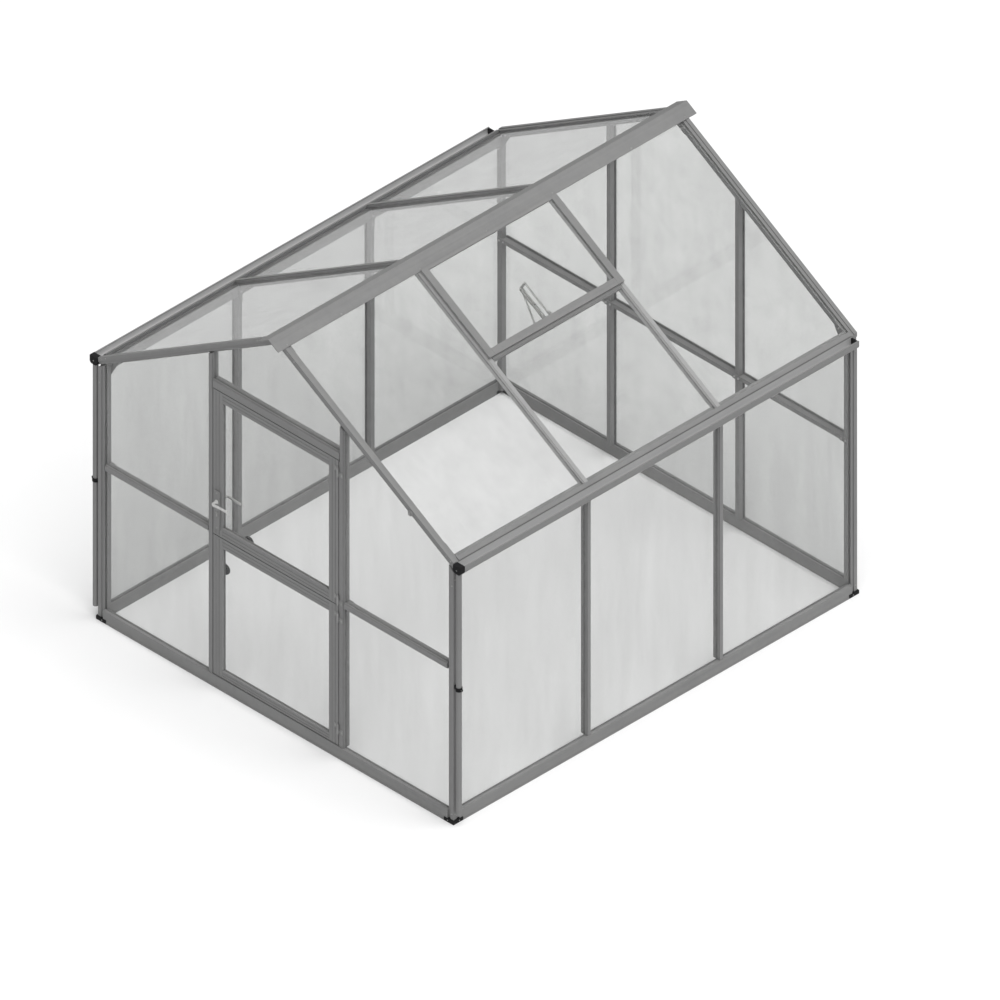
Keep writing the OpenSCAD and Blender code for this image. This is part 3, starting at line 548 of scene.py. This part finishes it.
for name in ("raftersFront", "raftersRear"):
    secondMaterial(name, aluminium["leftSlope"], leftOfRidge)
# The flanks of the right roof bars get more painted light
secondMaterial("roofBarsRight", barFlankPaintedLight, sideFaces)
for finish, nodes in ((wallGlass, wallPanes), (roofGlass, roofPanes)):
    for node in nodes:
        softCopy(node, pieceName(node), finish, edges["glass"], "clear_glass")
for node in plasticNodes:
    softCopy(node, pieceName(node), blackPlastic, edges["plastic"], "black_plastic")
for node, finish in steelNodes.items():
    softCopy(node, pieceName(node), finish, edges["metal"], "satin_steel")
report("CAD pieces with soft edges")

cosP, sinP = math.cos(slopeAngle), math.sin(slopeAngle)
roofZ = size["ridgeZ"] - size["capThick"] / cosP
# Rows: origin, along the wall or ridge, inwards through it, up the wall or down the slope
places = {
    "front": ((0, -size["wallY"], 0), (1, 0, 0), (0, 1, 0), (0, 0, 1)),
    "rear": ((0, size["wallY"], 0), (1, 0, 0), (0, -1, 0), (0, 0, 1)),
    "right": ((size["wallX"], 0, 0), (0, 1, 0), (-1, 0, 0), (0, 0, 1)),
    "left": ((-size["wallX"], 0, 0), (0, 1, 0), (1, 0, 0), (0, 0, 1)),
    "rightSlope": ((0, 0, roofZ), (0, 1, 0), (-sinP, 0, -cosP), (cosP, 0, -sinP)),
    "leftSlope": ((0, 0, roofZ), (0, 1, 0), (sinP, 0, -cosP), (-cosP, 0, -sinP)),
}
places = {key: np.array(rows, float) for key, rows in places.items()}
outwards = (0, -1, 0)     # in the axes of a place
inwards = (0, 1, 0)


# Point of a place: origin + first number * along + second * inwards + third * up or down the slope
def at(place, points):
    return places[place][0] + np.asarray(points, float) @ places[place][1:]


def facing(place, turns):
    return np.asarray(turns, float) @ places[place][1:]


# Height of the line that is as deep as this under the slope, at a distance x from the ridge
def under(x, depth):
    return roofZ - abs(x) * math.tan(slopeAngle) - depth / cosP


def addPiece(name, vertices, faces, material, body, slotName, smooth=30.0):
    mesh = bpy.data.meshes.new(name)
    mesh.from_pydata(vertices.reshape(-1, 3).tolist(), [], faces)
    mesh.materials.append(material)
    work = bmesh.new()
    work.from_mesh(mesh)
    bmesh.ops.remove_doubles(work, verts=work.verts, dist=1e-6)
    bmesh.ops.recalc_face_normals(work, faces=work.faces)
    work.to_mesh(mesh)
    work.free()
    mesh.polygons.foreach_set("use_smooth", np.ones(len(mesh.polygons), bool))
    mesh.set_sharp_from_angle(angle=math.radians(smooth))
    piece = bpy.data.objects.new(name, mesh)
    scene.collection.objects.link(piece)
    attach(piece, body)
    return piece


# Quads between neighbouring rows and columns of grids of vertices, numbered grid after grid
def gridFaces(count, rows, columns, closed):
    r, c = np.meshgrid(np.arange(rows - 1), np.arange(columns if closed else columns - 1), indexing="ij")
    n = (c + 1) % columns
    quads = np.stack([r * columns + c, r * columns + n, (r + 1) * columns + n, (r + 1) * columns + c], -1)
    return (np.arange(count)[:, None, None] * rows * columns + quads.reshape(-1, 4)).reshape(-1, 4)


# Turned parts: each ring is centre + height * axis + radius * (cos angle * side + sin angle * other side).
# Ribs cut into the radius by depth * third number of the profile * (1 + cos of ribs * angle) / 2
def turned(centers, axes, profile, segments, ribs=0, ribDepth=0.0):
    centers, axes = np.atleast_2d(np.asarray(centers, float)), np.atleast_2d(np.asarray(axes, float))
    profile = np.asarray(profile, float)
    axes = np.broadcast_to(axes / np.linalg.norm(axes, axis=1, keepdims=True), centers.shape)
    helper = np.where(np.abs(axes[:, 2:3]) > 0.9, (1.0, 0.0, 0.0), (0.0, 0.0, 1.0))
    side = np.cross(axes, helper)
    side /= np.linalg.norm(side, axis=1, keepdims=True)
    other = np.cross(axes, side)
    angle = np.arange(segments) * 2 * np.pi / segments
    radius = np.repeat(profile[:, :1], segments, 1)
    if ribs:
        cut = ribDepth * (0.5 + 0.5 * np.cos(ribs * angle))
        radius = profile[:, None, 0] * (1 - profile[:, None, 2] * cut)
    turn = np.cos(angle)[None, :, None] * side[:, None] + np.sin(angle)[None, :, None] * other[:, None]
    vertices = (centers[:, None, None] + profile[None, :, None, 1:2] * axes[:, None, None]
                + radius[None, :, :, None] * turn[:, None])
    return vertices, gridFaces(len(centers), len(profile), segments, True)


# Strips: each outline point is start or end + across * first number + outwards * second number
def strips(ends, across, away, outline):
    ends, outline = np.asarray(ends, float), np.asarray(outline, float)
    vertices = (ends[:, :, None] + np.asarray(across)[:, None, None] * outline[None, None, :, :1]
                + np.asarray(away)[:, None, None] * outline[None, None, :, 1:2])
    count, m = len(ends), len(outline)
    lids = (np.arange(2 * count)[:, None] * m + np.arange(m)).tolist()
    return vertices, gridFaces(count, 2, m, True).tolist() + lids


# Tubes along a path: centre + normal * wide * cos angle + binormal * high * sin angle
def tube(path, normal, binormal, wide, high, segments):
    angle = np.arange(segments) * 2 * np.pi / segments
    vertices = (path[:, None] + normal[:, None] * (wide[:, None] * np.cos(angle))[..., None]
                + binormal[:, None] * (high[:, None] * np.sin(angle))[..., None])
    return vertices, gridFaces(1, len(path), segments, True)


# One mesh from several, with the vertices numbered on
def joined(parts):
    vertices, faces, start = [], [], 0
    for points, quads in parts:
        points = points.reshape(-1, 3)
        vertices.append(points)
        faces += [[start + int(i) for i in face] for face in quads]
        start += len(points)
    return np.concatenate(vertices), faces


seal = {"width": 0.0028, "height": 0.0026, "seat": 0.0001, "top": 0.09, "low": 1.545, "side": 1.49,
        "corner": 1.314, "underSlope": 0.043}
w, h = seal["width"], seal["height"]
sealOutline = [(0, 0), (w, 0), (w * 1.05, h * 0.25), (w * 0.8, h * 0.7), (w * 0.3, h), (0, h)]


# Beads beside a bar, outside and inside: two ends on the wall, then the direction away from the bar
def sealLines(place, rows):
    a0, h0, a1, h1, da, dh = np.asarray(rows, float).T
    zero = np.zeros(len(rows))
    parts = []
    for depth, out, inset in ((size["paneOuter"] - seal["seat"], -1.0, 0.0),
                              (size["paneInner"] + seal["seat"], 1.0, size["barFace"] - size["barInner"])):
        starts = np.stack([a0 - da * inset, zero + depth, h0 - dh * inset], 1)
        ends = np.stack([a1 - da * inset, zero + depth, h1 - dh * inset], 1)
        across = facing(place, np.stack([da, zero, dh], 1))
        away = facing(place, np.tile((0, out, 0), (len(rows), 1)))
        parts.append(strips(at(place, np.stack([starts, ends], 1)), across, away, sealOutline))
    return parts


def besideBar(center, half, low, high):
    return [(center + half, low, center + half, high, 1, 0), (center - half, low, center - half, high, -1, 0)]


# Along the mid rail, above and below it, and along the base rail
def aroundRails(a, b):
    over, below = size["midZ"] + size["midFace"], size["midZ"] - size["midFace"]
    low = size["baseTop"]
    return [(a, over, b, over, 0, 1), (a, below, b, below, 0, -1), (a, low, b, low, 0, 1)]


# Upright beads below and above the mid rail, up to the slope
def upPost(x, away):
    over, below = size["midZ"] + size["midFace"], size["midZ"] - size["midFace"]
    return [(x, size["baseTop"], x, below, away, 0), (x, over, x, under(x, seal["underSlope"]), away, 0)]


face = size["barFace"]
sideRows, slopeRows, frontRows, rearRows = [], [], [], []
for y in (size["sideBar"], -size["sideBar"]):
    sideRows += besideBar(y, face, size["baseTop"], size["beamZ"])
    slopeRows += besideBar(y, face, seal["top"], seal["low"])
sideRows += [(-seal["side"], size["baseTop"], seal["side"], size["baseTop"], 0, 1)]
for sign in (-1, 1):
    outer = sign * (size["postX"] + face)
    frontRows += upPost(outer, sign) + aroundRails(*sorted((outer, sign * seal["corner"])))
    inner, outer = sign * (size["rearPostX"] - face), sign * (size["rearPostX"] + face)
    rearRows += upPost(inner, -sign) + upPost(outer, sign)
    rearRows += aroundRails(*sorted((outer, sign * seal["corner"])))
span = size["rearPostX"] - face
rearRows += aroundRails(-span, span)
sealRows = {"right": sideRows, "left": sideRows, "rightSlope": slopeRows, "leftSlope": slopeRows,
            "front": frontRows, "rear": rearRows}
seals = [bead for place, rows in sealRows.items() for bead in sealLines(place, rows)]
addPiece("glazingSeals", *joined(seals), sealRubber, "frame", "black_plastic")
report("glazing seals")

fixings = {
    "screw": 0.0036, "rivet": 0.004, "washer": 0.0065, "nut": 0.0052, "clipScrew": 0.003, "sides": 16,
    "footIn": 0.045, "footZ": 0.0115,                        # in the base rails, beside the corners
    "outletX": 1.3863, "outletZ": 1.685, "outletFront": -0.006, "plugRear": 0.042,
    "clipOut": 0.0225, "clipIn": 0.0083, "clipZ": 0.9,
    "rafterX": (1.3, 1.335, 0.09, 0.14), "rafterDepth": 0.012,
    "postX": 1.345, "postZ": (0.06, 1.56), "sidePostY": 1.52, "sidePostZ": (0.06, 1.6),
    "capY": (-1.511, -1.1, -0.502, 0, 0.502, 1.1, 1.511), "capDown": 0.074,
    "hingeOut": -0.00315, "hingeStep": 0.015, "hingePostX": (0.4905, 0.5035), "hingeLeafX": (0.457, 0.4695),
    "hingeZ": {"upper": (1.03875, 1.8825), "lower": (0.1915, 0.92525)},
    "plate": 0.004, "plateDepth": 0.0366, "apexX": (0.028, 0.072), "cleatStep": 0.016,
    "bracketZ": (-0.03, 0.025), "cornerX": 1.32, "cornerZ": (1.615, 1.65), "eavesX": (1.27, 1.302),
}
bothSides = (-1.0, 1.0)


def domeProfile(radius):
    k = radius
    return [(0, -0.0005), (k, -0.0005), (k, k * 0.12), (k * 0.9, k * 0.3), (k * 0.6, k * 0.44),
            (k * 0.28, k * 0.5), (k * 0.26, k * 0.34), (0, k * 0.34)]


def domes(centers, axis, radius):
    return turned(centers, axis, domeProfile(radius), fixings["sides"])


def domesOn(place, points, kind):
    return domes(at(place, points), facing(place, outwards), fixings[kind])


# Hexagon nut on a round washer, with the rounded end of the bolt
def nuts(place, points):
    w, k = fixings["washer"], fixings["nut"]
    washer = [(0, -0.0003), (w, -0.0003), (w, 0.0008), (w * 0.9, 0.0011), (0, 0.0011)]
    nut = [(0, 0.0011), (k, 0.0011), (k, 0.0044), (k * 0.86, 0.0051), (0, 0.0051)]
    bolt = [(0, 0.0051), (k * 0.55, 0.0051), (k * 0.55, 0.0076), (k * 0.35, 0.0083), (0, 0.0083)]
    centers, axis = at(place, points), facing(place, inwards)
    profiles = ((washer, fixings["sides"]), (nut, 6), (bolt, 12))
    return [turned(centers, axis, profile, sides) for profile, sides in profiles]


f = fixings
fixed = []
for place, outletIn in (("front", f["outletFront"]), ("rear", f["plugRear"])):
    feet = [(s * (size["baseX"] - f["footIn"]), -size["ledge"], f["footZ"]) for s in bothSides]
    fixed.append(domesOn(place, feet, "screw"))
    fixed.append(domesOn(place, [(s * f["outletX"], outletIn, f["outletZ"]) for s in bothSides], "screw"))
    rafters = [(s * x, 0, under(x, f["rafterDepth"])) for s in bothSides for x in f["rafterX"]]
    fixed.append(domesOn(place, rafters, "rivet"))
    fixed.append(domesOn(place, [(s * f["postX"], 0, z) for s in bothSides for z in f["postZ"]], "rivet"))
for place in ("left", "right"):
    feet = [(s * (size["baseY"] - f["footIn"]), -size["ledge"], f["footZ"]) for s in bothSides]
    fixed.append(domesOn(place, feet, "screw"))
    posts = [(s * f["sidePostY"], 0, z) for s in bothSides for z in f["sidePostZ"]]
    fixed.append(domesOn(place, posts, "rivet"))
for place in ("leftSlope", "rightSlope"):
    fixed.append(domesOn(place, [(y, -size["capThick"], f["capDown"]) for y in f["capY"]], "rivet"))
onPost = [(x, f["hingeOut"], z - f["hingeStep"])
          for zs in f["hingeZ"].values() for z in zs for x in f["hingePostX"]]
fixed.append(domesOn("front", onPost, "screw"))
clips = [(s * (f["outletX"] + f["clipOut"]), f["clipIn"], f["clipZ"]) for s in bothSides]
fixed.append(domesOn("front", clips, "clipScrew"))
addPiece("frameScrews", *joined(fixed), satinSteel, "frame", "satin_steel")
for leaf, zs in f["hingeZ"].items():
    onLeaf = [(x, f["hingeOut"], z + f["hingeStep"]) for z in zs for x in f["hingeLeafX"]]
    screws = domesOn("front", onLeaf, "screw")
    addPiece(leaf + "HingeScrews", *joined([screws]), satinSteel, leaf + "_door", "satin_steel")

plateIn = size["barDepth"] + f["plate"]
bolted = []
for place, inner in (("front", size["postX"] + size["barInner"]), ("rear", size["rearPostX"])):
    corner = [(f["cornerX"], z) for z in f["cornerZ"]] + [(x, under(x, f["plateDepth"])) for x in f["eavesX"]]
    apex = [(x, under(x, f["plateDepth"])) for x in f["apexX"]]
    points = [(s * x, plateIn, z) for s in bothSides for x, z in corner]
    points += [(s * x, plateIn, z) for s in bothSides for x, z in apex]
    points += [(s * (x + d), plateIn, size["midZ"]) for s in bothSides
               for x in (size["wallX"] - size["barDepth"], inner) for d in (-f["cleatStep"], f["cleatStep"])]
    bolted += nuts(place, points)
for place in ("left", "right"):
    ys = (-size["sideBar"], size["sideBar"])
    bolted += nuts(place, [(y, plateIn, size["beamZ"] + d) for y in ys for d in f["bracketZ"]])
addPiece("frameBolts", *joined(bolted), satinSteel, "frame", "satin_steel")
report("screws, rivets and bolts")

lever = {
    "x": -0.4415, "z": 1.23, "reach": 0.112, "out": 0.046, "bend": 0.016, "neck": 0.0078, "high": 0.0082,
    "deep": 0.0058, "plate": 0.0083, "bow": 0.004, "droop": 0.006, "leaf": 0.026, "rose": 0.0125,
    "roundFor": 0.02, "blendOver": 0.05, "sides": 24, "roseSides": 28,
}


# The path leaves the plate, turns a quarter circle towards the hinges and runs on with a slight bow.
# Its half width and height blend from a round neck to a flat grip, and close in a half circle at the tip
def leverSide(side, face):
    c = lever
    t = np.linspace(0, np.pi / 2, 10)
    neckY = np.linspace(0, c["out"] - c["bend"], 8)
    neck = np.stack([0 * neckY, neckY], 1)
    arc = np.stack([c["bend"] * (1 - np.cos(t)), c["out"] - c["bend"] + c["bend"] * np.sin(t)], 1)[1:]
    x = np.linspace(c["bend"], c["reach"], 26)[1:]
    part = (x - c["bend"]) / (c["reach"] - c["bend"])
    grip = np.stack([x, c["out"] - c["bow"] * np.sin(np.pi * part) - c["droop"] * part ** 4], 1)
    path = np.concatenate([neck, arc, grip])
    tangent = np.gradient(path, axis=0)
    tangent /= np.linalg.norm(tangent, axis=1, keepdims=True)
    run = np.concatenate([[0], np.cumsum(np.linalg.norm(np.diff(path, axis=0), axis=1))])
    left = run[-1] - run
    tip = np.sqrt(np.clip(1 - (1 - np.clip(left / c["deep"], 0, 1)) ** 2, 0, 1))
    blend = np.clip((run - c["roundFor"]) / c["blendOver"], 0, 1)
    blend = blend * blend * (3 - 2 * blend)
    wide = (c["neck"] + (c["deep"] - c["neck"]) * blend) * tip
    tall = (c["neck"] + (c["high"] - c["neck"]) * blend) * tip
    center = np.stack([path[:, 0], side * path[:, 1], 0 * path[:, 0]], 1) + (c["x"], face, c["z"])
    normal = np.stack([-tangent[:, 1], side * tangent[:, 0], 0 * path[:, 0]], 1)
    up = np.tile((0.0, 0.0, 1.0), (len(path), 1))
    return tube(center, normal, up, wide, tall, c["sides"])


doorFace, doorBack = -size["wallY"], -size["wallY"] + lever["leaf"]
plateFront, plateBack = doorFace - lever["plate"], doorBack + lever["plate"]
plates = ((plateFront, -1.0), (plateBack, 1.0))      # and the direction away from the door
r = lever["neck"]
spindle = [(0, -0.012), (r, -0.012), (r, 0.038), (0, 0.038)]
r = lever["rose"]
rose = [(0, 0.0003), (r, 0.0003), (r, 0.003), (r - 0.0013, 0.0045), (0, 0.0045)]
leverParts = [leverSide(-1, doorFace), leverSide(1, doorBack)]
leverParts.append(turned([(lever["x"], doorFace, lever["z"])], [(0, 1, 0)], spindle, lever["sides"]))
for y, out in plates:
    leverParts.append(turned([(lever["x"], y, lever["z"])], [(0, out, 0)], rose, lever["roseSides"]))
leverPiece = addPiece("doorLever", *joined(leverParts), leverSteel, "lever", "satin_steel", 50.0)
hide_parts("door_lever")

# Key cylinders: a round plug over a narrower body, with the open key slot drawn as a black block of painted
# shade
lock = {"down": 0.072, "screwZ": (1.058, 1.287), "bodyTop": 0.006, "bodyLow": 0.024, "slotHalf": 0.0042,
        "sides": 28}
cylinderZ = lever["z"] - lock["down"]
plug = [(0, 0.0005), (0.0085, 0.0005), (0.0085, 0.0022), (0.0078, 0.003), (0.0068, 0.003), (0.0066, 0.0024),
        (0.0058, 0.0024), (0.0055, 0.003), (0, 0.003)]
lockBody = [(-0.005, 0), (0.005, 0), (0.005, 0.0012), (0.0042, 0.002), (-0.0042, 0.002), (-0.005, 0.0012)]
slotOutline = [(-0.0009, 0), (0.0009, 0), (0.0009, 0.0032), (-0.0009, 0.0032)]


def onPlate(y, out, low, high, outline):
    ends = np.array([[(lever["x"], y, cylinderZ + low), (lever["x"], y, cylinderZ + high)]])
    return strips(ends, [(1.0, 0, 0)], [(0, out, 0)], outline)


lockParts = [turned([(lever["x"], y, cylinderZ)], [(0, out, 0)], plug, lock["sides"]) for y, out in plates]
lockParts += [onPlate(y, out, -lock["bodyTop"], -lock["bodyLow"], lockBody) for y, out in plates]
for y, out in plates:
    screwed = [(lever["x"], y, z) for z in lock["screwZ"]]
    lockParts.append(domes(screwed, (0, out, 0), fixings["screw"]))
addPiece("doorLock", *joined(lockParts), satinSteel, "upper_door", "satin_steel")
# Black blocks in the key slots: painted shade where the slot is an open hole
slotShades = [onPlate(y, out, -lock["slotHalf"], lock["slotHalf"], slotOutline) for y, out in plates]
addPiece("keySlots", *joined(slotShades), blackPlastic, "upper_door", "black_plastic")

# Turn knobs. Profile: radius, height and how far the ribs cut in
knob = {"ribs": 20, "ribDepth": 0.07, "seat": 0.0003, "sides": 120,
        "places": (("upper", -0.245, 1.03975), ("lower", -0.4253, 0.77))}
knobProfile = [
    (0, 0, 0), (0.0148, 0, 0), (0.0148, 0.0085, 0), (0.027, 0.0096, 0), (0.031, 0.0104, 0.5),
    (0.033, 0.0125, 1), (0.033, 0.0165, 1), (0.033, 0.0205, 1), (0.0322, 0.0226, 0.8), (0.0295, 0.0238, 0.3),
    (0.0262, 0.024, 0), (0.0238, 0.0232, 0), (0.0225, 0.0222, 0), (0.012, 0.0218, 0), (0, 0.0218, 0),
]
for leaf, x, z in knob["places"]:
    middle = [(x, doorBack + knob["seat"], z)]
    grid = turned(middle, [(0, 1, 0)], knobProfile, knob["sides"], knob["ribs"], knob["ribDepth"])
    piece = addPiece(leaf + "DoorKnob", *joined([grid]), blackPlastic, leaf + "_door", "black_plastic", 40.0)
    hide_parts(leaf + "_door_knob")

# Brush seals on the door stops, as strips whose edge narrows towards the leaves
brush = {"thick": 0.0035, "width": 0.007, "back": 0.0312, "edge": 0.0012, "low": 0.09, "high": 1.95,
         "stopX": 0.482, "headX": 0.47, "headZ": 1.959}
b = brush
brushRows = [[(x, b["back"], b["low"]), (x, b["back"], b["high"])] for x in (-b["stopX"], b["stopX"])]
brushRows += [[(-b["headX"], b["back"], b["headZ"]), (b["headX"], b["back"], b["headZ"])]]
brushAcross = np.array([(1.0, 0, 0), (-1.0, 0, 0), (0, 0, -1.0)])
pile = [(0, 0), (b["width"], 0), (b["width"], -b["edge"]), (b["width"] * 0.7, -b["thick"]),
        (b["width"] * 0.3, -b["thick"]), (0, -b["edge"])]
brushAway = np.tile(inwards, (3, 1))
brushes = strips(at("front", brushRows), facing("front", brushAcross), facing("front", brushAway), pile)
addPiece("doorBrushSeals", *joined([brushes]), sealRubber, "frame", "black_plastic")
report("door furniture")

opener = {"start": 0.4283, "depth": 0.076, "springStart": 0.653, "springEnd": 0.686, "spring": 0.0062,
          "wire": 0.001, "coils": 9, "steps": 24, "rodBefore": 0.003, "sleeveSides": 40, "rodSides": 20,
          "wireSides": 10}
downSlope = facing("rightSlope", (0, 0, 1.0))
sleeve = [(0, -0.001), (0.0085, -0.001), (0.0098, 0.001), (0.0098, 0.006), (0.009, 0.007), (0.009, 0.009),
          (0.0098, 0.01), (0.0098, 0.104), (0.009, 0.108), (0.0075, 0.11), (0, 0.11)]
rod = [(0, 0), (0.0038, 0), (0.0038, 0.038), (0.003, 0.04), (0, 0.04)]


def onOpener(distance, profile, segments):
    return turned([at("rightSlope", (0, opener["depth"], distance))], [downSlope], profile, segments)


cylinder = onOpener(opener["start"], sleeve, opener["sleeveSides"])
addPiece("ventCylinderSleeve", *joined([cylinder]), satinSteel, "frame", "satin_steel")
# Spring: a point that goes round the axis as it moves along it, with a round wire about it
angle = np.linspace(0, 2 * np.pi * opener["coils"], opener["steps"] * opener["coils"])
along = np.linspace(opener["springStart"], opener["springEnd"], len(angle))
circle = np.stack([np.cos(angle), np.sin(angle), 0 * angle], 1)
axis = np.stack([0 * angle, opener["depth"] + 0 * angle, along], 1)
coil = at("rightSlope", opener["spring"] * circle + axis)
wire = np.full(len(coil), opener["wire"])
binormal = np.tile(downSlope, (len(coil), 1))
spring = tube(coil, facing("rightSlope", circle), binormal, wire, wire, opener["wireSides"])
guide = onOpener(opener["springStart"] - opener["rodBefore"], rod, opener["rodSides"])
addPiece("ventSpring", *joined([spring, guide]), satinSteel, "frame", "satin_steel", 60.0)
report("vent opener")

gutter = {"back": 1.3573, "width": 0.058, "under": 1.66, "height": 0.05, "wall": 0.0025}


def insideGutter(middle, normal):
    g = gutter
    x, z = np.abs(middle[0]) - g["back"], middle[2] - g["under"]
    return (x > g["wall"]) & (x < g["width"] - g["wall"]) & (z > g["wall"]) & (z < g["height"] - g["wall"])


# The faces inside each gutter get the paler aluminium, painted light against the shade in the channel
for name in ("gutterLeft", "gutterRight"):
    secondMaterial(name, gutterPaintedLight, insideGutter)

# Lids on the outlets, crowned: their height falls with the square of the distance from the middle
lid = {"front": -1.538, "long": 0.0355, "seat": 0.0003, "thick": 0.0022, "crown": 0.0012, "inset": 0.0004,
       "rows": 15, "columns": 13}
m, n = lid["rows"], lid["columns"]
u, v = np.meshgrid(np.linspace(-1, 1, m), np.linspace(-1, 1, n), indexing="ij")
halfWide, halfLong = gutter["width"] / 2 - lid["inset"], lid["long"] / 2 - lid["inset"]
seatZ = gutter["under"] + gutter["height"] - lid["seat"]
rise = seatZ + lid["thick"] + lid["crown"] * (1 - u ** 2) * (1 - v ** 2)
rim = np.array([(i, 0) for i in range(m)] + [(m - 1, j) for j in range(1, n)]
               + [(i, n - 1) for i in range(m - 2, -1, -1)] + [(0, j) for j in range(n - 2, 0, -1)])
lids = []
for side in (-1, 1):
    x = side * (gutter["back"] + gutter["width"] / 2 + u * halfWide)
    y = lid["front"] + lid["long"] / 2 + v * halfLong
    grids = np.stack([np.stack([x, y, z], -1) for z in (rise, np.full(u.shape, seatZ))])
    border = grids[:, rim[:, 0], rim[:, 1]][None]
    lids += [(grids, gridFaces(2, m, n, False)), (border, gridFaces(1, 2, len(rim), True))]
addPiece("outletLids", *joined(lids), blackPlastic, "frame", "black_plastic")
report("gutters")

ground = {"color": (0.93, 0.93, 0.93), "cloud": 0.99, "half": 30, "below": 0.0005, "roughness": 0.9}


def makeFloor(c):
    a, z = c["half"], -c["below"]
    mesh = bpy.data.meshes.new("floor")
    mesh.from_pydata([(-a, -a, z), (a, -a, z), (a, a, z), (-a, a, z)], [], [(0, 1, 2, 3)])
    floor = bpy.data.objects.new("floor", mesh)
    scene.collection.objects.link(floor)
    mat, tree, shader, _, plain = newMaterial("pale floor")
    cloud = rampNode(tree, noiseNode(tree, plain, 1.5, 3.0), 0.3, 0.7)
    color = mixColor(tree, cloud, c["color"], times(c["cloud"], c["color"]))
    tree.links.new(color, shader.inputs["Base Color"])
    shader.inputs["Roughness"].default_value = c["roughness"]
    shader.inputs["Specular IOR Level"].default_value = 0.0
    mesh.materials.append(mat)
    floor.visible_glossy = False
    return floor


floor = makeFloor(ground)
report("floor")
